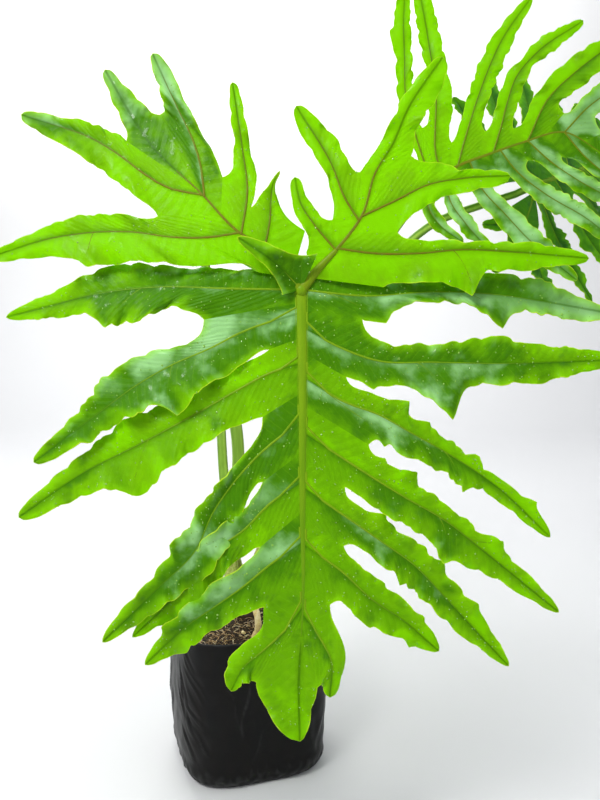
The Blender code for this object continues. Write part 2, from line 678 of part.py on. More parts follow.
def squared(made):
    """Draws a round section out to the bag's rounded square, and turns it."""
    for vert in made.data.vertices:
        x, y = vert.co.x, vert.co.y
        if x * x + y * y > 1e-10:
            angle = math.atan2(y, x)
            powers = [abs(f(angle)) ** BAG_SQUARENESS for f in (math.cos, math.sin)]
            grow = sum(powers) ** (-1.0 / BAG_SQUARENESS)
            vert.co.x, vert.co.y = x * grow, y * grow
    made.data.transform(Matrix.Rotation(BAG_TURN, 4, "Z"))


def grow_bag(paint, collection):
    """The bag: an open skin with its thickness inwards."""
    profile = [(BAG_HALF * share, height) for height, share in BAG_PROFILE] + [(0.0, 0.0)]
    made = turned("grow_bag", profile, collection)
    squared(made)
    film = made.modifiers.new("film", "SOLIDIFY")
    film.thickness = BAG_FILM
    film.offset = -1.0
    film.use_even_offset = True
    made.data.materials.append(paint)
    return made


def soil(paint, collection, cutters):
    """The soil: fills the bag, and has plain holes for the stem and the root."""
    heights = (SOIL_TOP, 0.150, 0.110, 0.060, 0.030, 0.016)
    falling = [(-height, share) for height, share in BAG_PROFILE]
    shares = np.interp([-height for height in heights], *zip(*falling))
    profile = [(0.0, SOIL_TOP + SOIL_RISE), (BAG_HALF * 0.5, SOIL_TOP + 0.6 * SOIL_RISE)]
    profile += [(BAG_HALF * share - SOIL_INSET, height) for share, height in zip(shares, heights)]
    profile += [
        (BAG_HALF * 0.86 - SOIL_INSET, SOIL_FLOOR + 0.003),
        (BAG_HALF * 0.76, SOIL_FLOOR),
        (0.0, SOIL_FLOOR),
    ]
    made = turned("soil", profile, collection)
    squared(made)
    holes = [
        cutter("stem_hole", (0, 0, STEM_FOOT + 0.05), STEM_RADIUS + GAP, 0.1, cutters),
        cutter("root_hole", (*ROOT_ENTRY[:2], SOIL_TOP), ROOT_RADIUS + GAP, 0.036, cutters),
    ]
    for hole in holes:
        cut = made.modifiers.new(hole.name, "BOOLEAN")
        cut.operation = "DIFFERENCE"
        cut.object = hole
        cut.solver = "EXACT"
    made.data.materials.append(paint)
    return made


def stem(feet, paint, collection):
    """The stem, with the sheathing foot of each petiole as a short stub. feet: (point, way)."""
    profile = [(0.0, STEM_TOP + 0.004), (0.010, STEM_TOP), (0.0145, STEM_TOP - 0.012)]
    rings = [(0.0155 + 0.0007 * (i % 2), STEM_TOP - 0.020 - 0.007 * i) for i in range(5)]
    profile += rings
    profile += [
        (STEM_RADIUS - GAP, STEM_TOP - 0.055),
        (STEM_RADIUS - GAP, STEM_FOOT + 0.006),
        (STEM_RADIUS * 0.7, STEM_FOOT + 0.001),
        (0.0, STEM_FOOT + 0.001),
    ]
    body = turned("stem", profile, collection)
    depth = STUB_LENGTH + STUB_DEPTH
    radii = (STUB_RADIUS, PETIOLE_FOOT_RADIUS * 1.03)
    stubs = [
        rod(f"stub_{i}", foot - way * depth, foot, radii, collection)
        for i, (foot, way) in enumerate(feet)
    ]
    made = fuse(body, stubs)
    made.data.materials.clear()
    made.data.materials.append(paint)
    return made


def aerial_root(paint, collection):
    """One root that leaves the stem at the front and goes down into its hole in the soil."""
    x, y, z = ROOT_ENTRY
    points = (
        (-0.001, -STEM_RADIUS - 0.0013, 0.197),
        (0.003, -0.029, 0.203),
        (0.013, -0.043, 0.199),
        (0.0165, -0.050, 0.182),
        (x, y, z),
        (x, y, z - 0.014),
    )
    path = spline(points, [i / ROOT_SPANS for i in range(ROOT_SPANS + 1)])
    radii = [ROOT_RADIUS * (0.94 - 0.12 * i / ROOT_SPANS) for i in range(ROOT_SPANS + 1)]
    return round_line("aerial_root", path, radii, 2, paint, collection)


# Where each leaf goes


def frame_from(joint, across, up):
    """A blade's frame: across is its x, up its y, and its upper face looks along x cross y."""
    x = Vector(across).normalized()
    z = x.cross(Vector(up)).normalized()
    y = z.cross(x)
    turn = Matrix((x, y, z)).transposed().to_4x4()
    return Matrix.Translation(joint) @ turn


LEANED = (0.0, math.sin(VIEW_TILT), math.cos(VIEW_TILT))

LEAVES = (
    dict(
        name="front", pattern=front_leaf, joint=(0.065, -0.254, 0.557), across=(1, 0, 0), up=LEANED,
        arrival=(0.02, -0.93, 0.36), foot=(0.013, -0.014, 0.214), way=(0.22, -0.45, 0.86),
        through=((0.036, -0.066, 0.335), (0.054, -0.135, 0.460)),
    ),
    dict(
        name="right", pattern=right_leaf, joint=(0.209, 0.008, 0.669), across=(1, 0, 0), up=LEANED,
        arrival=(0.50, -0.58, 0.64), foot=(0.020, 0.002, 0.222), way=(0.30, 0.05, 0.95),
        through=((0.058, 0.012, 0.375), (0.118, 0.030, 0.520), (0.168, 0.040, 0.612)),
    ),
    dict(
        name="back_right", pattern=lambda: plain_leaf(330, 5, 5), joint=(0.360, 0.135, 0.680),
        across=(-0.42, 0.16, 0.9), up=(-0.86, -0.42, 0.0),
        arrival=(0.90, -0.12, 0.42), foot=(0.012, 0.016, 0.221), way=(0.28, 0.32, 0.90),
        through=(
            (0.072, 0.078, 0.400), (0.138, 0.098, 0.535), (0.232, 0.116, 0.632), (0.290, 0.135, 0.654)
        ),
    ),
    dict(
        name="back_left", pattern=lambda: plain_leaf(290, 5, 8), joint=(-0.064, 0.078, 0.616),
        across=(-0.30, -0.95, -0.045), up=(0.95, -0.30, -0.07),
        arrival=(-0.48, 0.42, 0.77), foot=(-0.016, -0.004, 0.218), way=(-0.05, 0.04, 0.99),
        through=((-0.008, 0.012, 0.364), (-0.028, 0.026, 0.480)),
    ),
    dict(
        name="back", pattern=lambda: plain_leaf(300, 5, 14), joint=(0.0, 0.200, 0.543),
        across=(-0.93, 0.35, -0.008), up=(-0.35, -0.93, -0.01),
        arrival=(0.20, 0.78, 0.60), foot=(-0.012, 0.016, 0.216), way=(-0.18, 0.25, 0.95),
        through=((-0.030, 0.050, 0.346), (-0.032, 0.088, 0.448)),
    ),
)


def leaf_pieces(spec, paints, collection):
    """One leaf: its petiole and its blade, a hair apart."""
    arrival = Vector(spec["arrival"]).normalized()
    way = Vector(spec["way"]).normalized()
    frame = frame_from(spec["joint"], spec["across"], spec["up"])
    blade(f"{spec['name']}_blade", spec["pattern"](), frame, arrival, paints[0], collection)
    start = Vector(spec["foot"]) + way * (STUB_LENGTH + GAP)
    end = Vector(spec["joint"]) - arrival * (COLLAR_LENGTH + GAP)
    points = [start, start + way * 0.016, *map(Vector, spec["through"]), end - arrival * 0.014, end]
    petiole(f"{spec['name']}_petiole", [tuple(p) for p in points], paints[1], collection)


def build():
    """Makes every piece in its collection."""
    for old in list(bpy.data.objects):
        bpy.data.objects.remove(old)
    plant = bpy.data.collections.new("potted_tree_philodendron")
    cutters = bpy.data.collections.new("cutters")
    for collection in (plant, cutters):
        bpy.context.scene.collection.children.link(collection)
    film = material("black_polythene", (0.012, 0.012, 0.013), 0.35)
    peat = material("potting_soil", (0.06, 0.035, 0.02), 0.95)
    bark = material("green_stem", (0.35, 0.42, 0.14), 0.6)
    cork = material("root_cork", (0.62, 0.45, 0.25), 0.8)
    stalk = material("green_petiole", (0.22, 0.40, 0.06), 0.4)
    bright = material("bright_leaf", (0.10, 0.38, 0.01), 0.35)
    dark = material("dark_leaf", (0.05, 0.20, 0.02), 0.38)
    grow_bag(film, plant)
    soil(peat, plant, cutters)
    feet = []
    for spec in LEAVES:
        way = Vector(spec["way"]).normalized()
        feet.append((Vector(spec["foot"]) + way * STUB_LENGTH, way))
        green = dark if spec["name"] == "back_right" else bright
        leaf_pieces(spec, (green, stalk), plant)
    stem(feet, bark, plant)
    aerial_root(cork, plant)


build()
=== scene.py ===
# Lacy tree philodendron in a black polythene grow bag.
# World metres, Z up. The front leaf faces -Y and the bag stands at the origin.
import math
import random
from functools import partial

import bmesh
import bpy
import numpy as np
from mathutils import Matrix, Vector, noise


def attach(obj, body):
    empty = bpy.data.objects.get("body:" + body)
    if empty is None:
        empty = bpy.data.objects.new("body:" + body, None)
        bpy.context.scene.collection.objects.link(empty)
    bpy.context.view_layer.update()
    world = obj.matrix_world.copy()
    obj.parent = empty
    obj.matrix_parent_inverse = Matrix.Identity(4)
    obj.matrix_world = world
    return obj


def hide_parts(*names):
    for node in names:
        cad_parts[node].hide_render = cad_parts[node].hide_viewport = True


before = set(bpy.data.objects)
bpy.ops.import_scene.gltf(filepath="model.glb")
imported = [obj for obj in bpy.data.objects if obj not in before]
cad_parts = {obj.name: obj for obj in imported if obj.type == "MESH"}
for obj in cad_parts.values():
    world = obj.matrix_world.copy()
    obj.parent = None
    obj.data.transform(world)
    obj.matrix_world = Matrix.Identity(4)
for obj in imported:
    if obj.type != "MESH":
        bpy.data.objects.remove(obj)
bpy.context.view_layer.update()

mm = 0.001
toMetres = Matrix.Scale(mm, 4)
soft = {"interpolation_type": "SMOOTHSTEP"}
inColor = {"data_type": "RGBA"}
scene = bpy.context.scene
scene.view_settings.view_transform = "Standard"


# Camera, light and floor

camera = {"place": (0.064, -0.90, 0.57), "pitch": -9.0, "lens": 24.0, "sensorHeight": 24.0}
studio = {
    "skyColor": "f4f8ff", "skyStrength": 0.95, "horizonColor": "ffffff", "horizonStrength": 0.5,
    "keyPlace": (-0.8, -1.35, 1.85), "keySize": 0.7, "keyPower": 34.0,
    "backPlace": (-0.5, 1.3, 2.0), "backSize": 1.2, "backPower": 32.0,
    "wallPlace": (-0.3, 0.9, 3.0), "wallSize": 2.2, "wallPower": 65.0, "wallTarget": (-0.28, 2.7, 2.3),
    "wallSpread": 95.0,
    "floorColor": "cdcdcd", "floorHalf": 4.0, "floorFront": -3.0, "floorHeight": -0.0002,
    "wallDistance": 1.9, "wallTop": 4.0, "sweepRadius": 0.8,
}


def feed(tree, node, inputs):
    # inputs: socket to a value, or to the output that feeds it
    for socket, item in inputs.items():
        if isinstance(item, bpy.types.NodeSocket):
            tree.links.new(item, node.inputs[socket])
        else:
            node.inputs[socket].default_value = item


def addNode(tree, kind, inputs=None, out=0, **settings):
    # a new shader node, by the output named out
    made = tree.nodes.new("ShaderNode" + kind)
    for name, value in settings.items():
        setattr(made, name, value)
    feed(tree, made, inputs or {})
    return made.outputs[out]


def hexColor(code):
    parts = [int(code[i:i + 2], 16) / 255 for i in (0, 2, 4)]
    linear = [p / 12.92 if p <= 0.04045 else ((p + 0.055) / 1.055) ** 2.4 for p in parts]
    return (*linear, 1.0)


def makeCamera(settings):
    data = bpy.data.cameras.new("photoCamera")
    data.sensor_fit = "VERTICAL"
    data.sensor_height = settings["sensorHeight"]
    data.lens = settings["lens"]
    data.clip_start = 0.01
    made = bpy.data.objects.new("photoCamera", data)
    made.location = settings["place"]
    made.rotation_euler = (math.radians(90 + settings["pitch"]), 0, 0)
    scene.collection.objects.link(made)
    scene.camera = made


def areaLight(name, place, size, power, target=(0.05, 0.0, 0.35), spread=180.0):
    data = bpy.data.lights.new(name, "AREA")
    data.shape = "DISK"
    data.size = size
    data.energy = power
    data.spread = math.radians(spread)
    made = bpy.data.objects.new(name, data)
    made.location = place
    made.rotation_euler = (Vector(target) - Vector(place)).to_track_quat("-Z", "Y").to_euler()
    scene.collection.objects.link(made)


def makeSky(settings):
    # a pale dome, a little brighter overhead
    world = bpy.data.worlds.new("studioWorld")
    scene.world = world
    world.use_nodes = True
    tree = world.node_tree
    upward = addNode(tree, "SeparateXYZ", {0: addNode(tree, "TexCoord", out="Generated")}, out=2)
    share = addNode(tree, "MapRange", {0: upward, 1: 0.05, 2: 0.75}, **soft)
    horizon, sky = hexColor(settings["horizonColor"]), hexColor(settings["skyColor"])
    feed(tree, tree.nodes["Background"], {
        "Color": addNode(tree, "Mix", {0: share, 6: horizon, 7: sky}, out=2, **inColor),
        "Strength": addNode(
            tree, "MapRange", {0: share, 3: settings["horizonStrength"], 4: settings["skyStrength"]}
        ),
    })


def makeSweep(settings):
    # a paper sweep: floor, quarter round and wall from one extruded line
    radius, wall, low = settings["sweepRadius"], settings["wallDistance"], settings["floorHeight"]
    line = [(settings["floorFront"], low), (wall, low)]
    line += [
        (wall + radius * math.sin(a), radius - radius * math.cos(a))
        for a in np.linspace(0, math.pi / 2, 13)[1:]
    ]
    line += [(wall + radius, settings["wallTop"])]
    bm = bmesh.new()
    verts = [bm.verts.new((-settings["floorHalf"], y, z)) for y, z in line]
    edges = [bm.edges.new(pair) for pair in zip(verts, verts[1:])]
    swept = bmesh.ops.extrude_edge_only(bm, edges=edges)["geom"]
    moved = [item for item in swept if isinstance(item, bmesh.types.BMVert)]
    bmesh.ops.translate(bm, vec=(2 * settings["floorHalf"], 0, 0), verts=moved)
    paper, tree, _, shader = newMaterial("whitePaper")
    feed(tree, shader, {"Base Color": hexColor(settings["floorColor"]), "Roughness": 0.9})
    made = makeObject("paperSweep", bm, [paper])
    made.data.shade_smooth()


def newMaterial(name):
    # a material, its node tree, what adds a node to it, and its shader
    made = bpy.data.materials.new(name)
    made.use_nodes = True
    tree = made.node_tree
    return made, tree, partial(addNode, tree), tree.nodes["Principled BSDF"]


def makeObject(name, bm, materials, place=None):
    mesh = bpy.data.meshes.new(name)
    if place is not None:
        bmesh.ops.transform(bm, matrix=place, verts=bm.verts)
    bm.to_mesh(mesh)
    bm.free()
    for item in materials:
        mesh.materials.append(item)
    made = bpy.data.objects.new(name, mesh)
    scene.collection.objects.link(made)
    return made


def finishPiece(made, node):
    # all pieces ride the one body. Drops stand for no node
    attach(made, "root")
    if node:
        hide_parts(node)


makeCamera(camera)
makeSky(studio)
for panel in ("key", "back"):
    areaLight(panel + "Panel", *(studio[panel + part] for part in ("Place", "Size", "Power")))
areaLight("wallPanel", *(studio["wall" + part] for part in ("Place", "Size", "Power", "Target", "Spread")))
makeSweep(studio)
print("camera and studio ready")


# Leaf materials

# Leaf lamina: the waxy cuticle of a wet leaf. A bright yellow-green body that lets light through, brightened
# by painted light where light comes through and along the margins, halves darkened with painted shade, a
# painted bluish sheen, painted shade beside the veins, faint side veins, wet spots that glint, a pale thin
# rim.
# UV map "vein" holds (along, across) from the lobe's vein, "edge" holds (distance to edge, tone), in mm.
leafSkin = {
    "glow": "8fd800", "bright": "66a602", "patch": "80c006", "deep": "427c04", "sheen": "9ed48c",
    "through": "c4ee00", "sideVein": "9bd02a", "groove": "2f6202", "rim": "c0e02a", "rimWidth": 0.8,
    "veinSpacing": 7.5, "roughness": 0.35, "throughShare": 0.28, "specular": 0.07, "wet": 0.55,
}
# a darker copy of the leaf skin: painted shade for the leaf that stands in the shade behind
shadeSkin = dict(leafSkin, glow="6fb81a", bright="43861a", deep="2a611c", patch="4f9423", throughShare=0.2)
underSkin = dict(leafSkin, glow="8ccf2a", bright="74b030", deep="5f9a3e", patch="7fbb3a", sheen="93c46c",
                 groove="b2dc62", roughness=0.5, specular=0.06, wet=0.0)


def laminaMaterial(name, settings):
    made, tree, add, shader = newMaterial(name)
    place = add("TexCoord", out="Object")
    along = add("SeparateXYZ", {0: add("UVMap", uv_map="vein")})
    across = along.node.outputs[1]
    edgeDistance = add("SeparateXYZ", {0: add("UVMap", uv_map="edge")})
    tone = edgeDistance.node.outputs[1]

    # patches 40 mm and 9 mm wide
    broad = add("TexNoise", {"Vector": place, "Scale": 24.0, "Detail": 2.0})
    small = add("TexNoise", {"Vector": place, "Scale": 120.0, "Detail": 3.0})
    both = add("Mix", {0: 0.4, 2: broad, 3: small})
    patch = add("MapRange", {0: both, 1: 0.40, 2: 0.62}, **soft)
    patchShare = add("Math", {0: patch, 1: 0.7}, operation="MULTIPLY")
    # side veins leave the lobe's vein at about 50 degrees
    slanted = add("Math", {0: across, 1: -0.85, 2: along}, operation="MULTIPLY_ADD")
    turns = add("Math", {0: slanted, 1: settings["veinSpacing"]}, operation="DIVIDE")
    wavy = add("Math", {0: small, 1: 0.45, 2: turns}, operation="MULTIPLY_ADD")
    saw = add("Math", {0: wavy, 1: 0.5}, operation="PINGPONG")
    offVein = add("MapRange", {0: across, 1: 0.6, 2: 3.0}, **soft)
    offEdge = add("MapRange", {0: edgeDistance, 1: 0.8, 2: 4.0}, **soft)
    inside = add("Math", {0: offVein, 1: offEdge}, operation="MULTIPLY")
    crest = add("MapRange", {0: saw, 1: 0.42, 2: 0.5, 4: 0.09}, **soft)
    lines = add("Math", {0: crest, 1: inside}, operation="MULTIPLY")

    # tone runs from -1, painted light coming through, over 0, fresh, and 1, painted shade, to 2, a painted
    # bluish sheen
    mottled = add("Math", {0: small, 1: 1.2, 2: tone}, operation="MULTIPLY_ADD")
    shifted = add("Math", {0: broad, 1: 2.6, 2: mottled}, operation="MULTIPLY_ADD")
    softTone = add("Math", {0: shifted, 1: 1.9}, operation="SUBTRACT")
    darker = add("MapRange", {0: softTone, 1: 0.0, 2: 1.0}, **soft)
    lighter = add("MapRange", {0: softTone, 1: 0.0, 2: -1.0}, **soft)
    sheenPatches = add("MapRange", {0: broad, 1: 0.40, 2: 0.58, 3: 0.35, 4: 0.85})
    waxed = add("MapRange", {0: softTone, 1: 1.15, 2: 2.2}, **soft)
    paintedSheen = add("Math", {0: waxed, 1: sheenPatches}, operation="MULTIPLY")

    # colours laid one over another, from the body out to the veins and the rim. On the top the margin's glow
    # is painted light coming through the thin edge, and near and groove lay painted shade beside the veins
    margin = add("MapRange", {0: edgeDistance, 1: 8.0, 2: 0.5, 4: 0.45}, **soft)
    near = add("MapRange", {0: across, 1: 6.0, 2: 0.5, 4: 0.28}, **soft)
    groove = add("MapRange", {0: across, 1: 1.3, 2: 0.5, 4: 0.5}, **soft)
    width = settings["rimWidth"]
    rim = add("MapRange", {0: edgeDistance, 1: width, 2: width * 0.35, 4: 0.75})
    color = hexColor(settings["bright"])
    for share, layer in (
        (patchShare, "patch"), (darker, "deep"), (paintedSheen, "sheen"), (lighter, "glow"), (margin, "glow"),
        (lines, "sideVein"), (near, "groove"), (groove, "groove"), (rim, "rim"),
    ):
        color = add("Mix", {0: share, 6: color, 7: hexColor(settings[layer])}, 2, **inColor)

    # the skin swells between the side veins and has a fine grain
    grain = add("TexNoise", {"Vector": place, "Scale": 700.0, "Detail": 2.0})
    quilt = add("Math", {0: saw, 1: inside}, operation="MULTIPLY")
    pressed = add("Math", {0: quilt, 1: -0.8}, operation="MULTIPLY")
    grained = add("Math", {0: grain, 1: 0.16, 2: pressed}, operation="MULTIPLY_ADD")
    swelling = add("Math", {0: small, 1: 1.5, 2: grained}, operation="MULTIPLY_ADD")
    bump = add("Bump", {"Height": swelling, "Strength": 0.6, "Distance": 0.0011})
    dull = settings["roughness"]
    rough = add("MapRange", {0: patch, 3: dull + 0.1, 4: dull - 0.05})
    # wet spots. The parts with a high tone, painted shade and painted sheen, hold the most water
    wetSpots = add("TexNoise", {"Vector": place, "Scale": 120.0, "Detail": 4.0})
    wet = add("MapRange", {0: wetSpots, 1: 0.6, 2: 0.66, 4: settings["wet"]}, **soft)
    held = add("MapRange", {0: softTone, 1: 0.0, 2: 1.6, 3: 0.25, 4: 1.0})
    coat = add("Math", {0: wet, 1: held}, operation="MULTIPLY")
    feed(tree, shader, {
        "Base Color": color, "Roughness": rough, "Normal": bump, "Coat Weight": coat, "IOR": 1.45,
        "Specular IOR Level": settings["specular"], "Coat Roughness": 0.16, "Coat IOR": 1.33,
    })

    # light through the leaf
    lit = add("Mix", {0: 0.55, 6: color, 7: hexColor(settings["through"])}, 2, **inColor)
    through = add("BsdfTranslucent", {"Color": lit})
    thin = add("Math", {0: lighter, 1: 0.25, 2: settings["throughShare"]}, operation="MULTIPLY_ADD")
    share = add("Math", {0: darker, 1: -0.12, 2: thin}, operation="MULTIPLY_ADD")
    surface = add("MixShader", {0: share, 1: shader.outputs[0], 2: through})
    feed(tree, tree.nodes["Material Output"], {"Surface": surface})
    return made


# Ribs and veins: turgid green tissue, satin. UV map "vein" holds (fade from pale to dark, warmth).
ribSkin = {"pale": "72960c", "fade": "447c04", "brown": "6a5a12", "roughness": 0.4}
stalkSkin = dict(ribSkin, pale="9cc04c", fade="527a20")


def ribMaterial(name, settings):
    made, tree, add, shader = newMaterial(name)
    share = add("SeparateXYZ", {0: add("UVMap", uv_map="vein")})
    place = add("TexCoord", out="Object")
    speck = add("TexNoise", {"Vector": place, "Scale": 160.0, "Detail": 3.0})
    fade = add("MapRange", {0: share, 1: 0.15, 2: 0.75})
    spotted = add("MapRange", {0: speck, 1: 0.3, 2: 0.7, 3: 0.75, 4: 1.1})
    warm = add("Math", {0: share.node.outputs[1], 1: spotted}, operation="MULTIPLY", use_clamp=True)
    # faint lengthwise bands about 4 mm wide
    drawn = add("Mapping", {"Vector": place, "Scale": (1.0, 1.0, 0.06)})
    band = add("TexNoise", {"Vector": drawn, "Scale": 230.0, "Detail": 1.0})
    streak = add("MapRange", {0: band, 1: 0.42, 2: 0.62, 4: 0.25})
    color = hexColor(settings["pale"])
    for layer, key in ((fade, "fade"), (warm, "brown"), (streak, "fade")):
        color = add("Mix", {0: layer, 6: color, 7: hexColor(settings[key])}, 2, **inColor)
    bump = add("Bump", {"Height": speck, "Strength": 0.25, "Distance": 0.0008})
    feed(tree, shader, {
        "Base Color": color, "Normal": bump, "Roughness": settings["roughness"], "IOR": 1.42,
        "Specular IOR Level": 0.14,
    })
    return made


def waterMaterial(name):
    # clear water: sharp highlights, and the leaf's green seen through it painted into its colour
    made, tree, add, shader = newMaterial(name)
    tint = add("TexNoise", {"Vector": add("TexCoord", out="Object"), "Scale": 60.0})
    color = add("Mix", {0: tint, 6: hexColor("6fae20"), 7: hexColor("b4e06a")}, 2, **inColor)
    feed(tree, shader, {
        "Base Color": color, "Roughness": 0.04, "IOR": 1.33, "Transmission Weight": 0.3, "Coat Weight": 0.5,
    })
    return made


upperSkin = laminaMaterial("waxedLeafTop", leafSkin)
lowerSkin = laminaMaterial("leafUnderside", underSkin)
upperShade = laminaMaterial("waxedLeafTopPaintedShade", shadeSkin)
veinSkin = ribMaterial("leafVein", ribSkin)
stalkMaterial = ribMaterial("petioleSkin", stalkSkin)
dropSkin = waterMaterial("waterDrops")
print("leaf materials ready")


# Curves and grids


def spline(points, fractions):
    # points at fractions of the length of a smooth curve through points
    points = np.array(points, float)
    steps = np.linalg.norm(np.diff(points, axis=0), axis=1)
    knots = np.concatenate([[0.0], np.cumsum(steps)])
    slopes = np.gradient(points, knots, axis=0)
    at = np.linspace(0.0, knots[-1], 60 * len(points))
    span = np.clip(np.searchsorted(knots, at, side="right") - 1, 0, len(points) - 2)
    width = (knots[span + 1] - knots[span])[:, None]
    s = (at - knots[span])[:, None] / width
    dense = (
        (2 * s**3 - 3 * s**2 + 1) * points[span]
        + (s**3 - 2 * s**2 + s) * width * slopes[span]
        + (3 * s**2 - 2 * s**3) * points[span + 1]
        + (s**3 - s**2) * width * slopes[span + 1]
    )
    run = np.concatenate([[0.0], np.cumsum(np.linalg.norm(np.diff(dense, axis=0), axis=1))])
    wanted = np.array(fractions, float) * run[-1]
    return np.stack([np.interp(wanted, run, column) for column in dense.T], axis=1)


def lengthOf(points):
    fine = spline(points, np.linspace(0, 1, 80))
    return float(np.linalg.norm(np.diff(fine, axis=0), axis=1).sum())


def gridPatch(bm, points, maps):
    # a grid whose point (i, j) goes to points[i, j]. maps: UV map name to values[i, j]
    columns, rows = points.shape[0] - 1, points.shape[1] - 1
    patch = bmesh.ops.create_grid(bm, x_segments=columns, y_segments=rows, size=0.5)
    index = {}
    for vert in patch["verts"]:
        i = round((vert.co.x + 0.5) * columns)
        j = round((vert.co.y + 0.5) * rows)
        index[vert] = (i, j)
        vert.co = points[i, j]
    layers = {name: uvLayer(bm, name) for name in maps}
    for face in facesOf(patch["verts"]):
        face.smooth = True
        for loop in face.loops:
            for name, layer in layers.items():
                loop[layer].uv = maps[name][index[loop.vert]]
    return patch["verts"]


def facesOf(verts):
    return {face for vert in verts for face in vert.link_faces}


def uvLayer(bm, name):
    return bm.loops.layers.uv.get(name) or bm.loops.layers.uv.new(name)


def unitRows(rows):
    return rows / np.maximum(np.linalg.norm(rows, axis=1), 1e-9)[:, None]


def tubePatch(bm, path, radii, sides=10, flat=1.0, up=(0.31, 0.57, 0.76), warmth=0.0, layer="vein",
              fade=(0, 0.2), bands=0.0):
    # a tube along path. flat squeezes it along up. fade: from pale to dark along it. bands: dark lengthwise
    # lines of painted shade
    path = np.array(path, float)
    ahead = unitRows(np.gradient(path, axis=0))
    aside = unitRows(np.cross(ahead, np.array(up, float)))
    above = np.cross(aside, ahead)
    turn = np.linspace(0, 2 * math.pi, sides + 1)
    radii = np.array(radii, float)[:, None, None]
    c, s = np.cos(turn)[None, :, None], np.sin(turn)[None, :, None] * flat
    points = path[:, None] + radii * (c * aside[:, None] + s * above[:, None])
    share = np.linspace(*fade, len(path))
    lines = bands * (0.5 + 0.35 * np.sin(3 * turn + 0.9) + 0.25 * np.sin(5 * turn + 2.0))
    darkness = share[:, None] + lines[None]
    values = np.stack([darkness, np.full_like(darkness, warmth)], axis=2)
    return gridPatch(bm, points, {layer: values})


def applyModifiers(made):
    bpy.context.view_layer.update()
    graph = bpy.context.evaluated_depsgraph_get()
    mesh = bpy.data.meshes.new_from_object(made.evaluated_get(graph))
    made.modifiers.clear()
    old, made.data = made.data, mesh
    bpy.data.meshes.remove(old)


def closeTubes(bm):
    # closed seams and ends, with faces that point outwards
    bmesh.ops.remove_doubles(bm, verts=bm.verts, dist=0.02)
    bmesh.ops.holes_fill(bm, edges=bm.edges, sides=0)
    bmesh.ops.recalc_face_normals(bm, faces=bm.faces)


def smoothFaces(faces):
    for face in faces:
        face.smooth = True


# Leaf patterns, in millimetres in the leaf's own plane: x across, y from the tip towards the base, and the
# joint of petiole and blade at (0, 0). The same patterns as the part's own solids, drawn finer.
leafMesh = {
    "station": 2.0, "column": 1.9, "columnRange": (12, 110), "webColumns": 8, "thickness": 0.8,
    "merge": 0.04, "scallop": 24.0, "smallScallop": 10.5, "scallopDepth": 1.55, "ruffleWave": 52.0,
    "riseLength": 40.0,
    "edgeRoll": 1.3, "crimp": 1.0, "puff": 0.7, "fold": 5.0, "plainBlade": 0.62,
    # a notch is round over the first of these, and its bay runs out over the second
    "notchRound": 5.0, "bayReach": 26.0,
    # a lobe this long has the whole depth of scallops, and one this wide on a side the whole ruffle
    "fullLength": 110.0, "fullWidth": 8.0,
}


def lobe(start, vein, near, far, gap, twist=7.0, lift=0.0, teeth=(), blunt=False):
    # start: where the vein leaves the rib. near, far: half widths towards the rib's foot and tip.
    # gap: the bottom of the notch after it. teeth: (side, place, height, narrowing). blunt: a round tip
    return dict(start=start, vein=vein, near=near, far=far, gap=gap, twist=twist, lift=lift, teeth=teeth,
                blunt=blunt)


def side(first, lobes, tip):
    return dict(first=first, lobes=lobes, tip=tip)


def rib(points, foot, end, width, sides, lift=0.0, tones=None, **looks):
    # foot, end: where the web starts and where the end lobe starts. tones: (near, far) or (near, far, tip)
    # for each lobe, from -1, painted light coming through, over 0, fresh, and 1, painted shade, to 2,
    # painted
    # sheen. warm: how brown the veins are. edge: how deep the margin's scallops are. web: the tone between
    # the
    # lobes. under: how dark the painted shade below each vein is. blunt: round tips. wet: how many drops.
    # bay:
    # how much wider the notches are, in mm
    plain = dict(warm=0.0, edge=0.75, web=0.4, under=0.7, blunt=False, wet=1.0, bay=2.8)
    return dict(plain, points=points, foot=foot, end=end, width=width, sides=sides, lift=lift,
                tones=tones or {}, **looks)


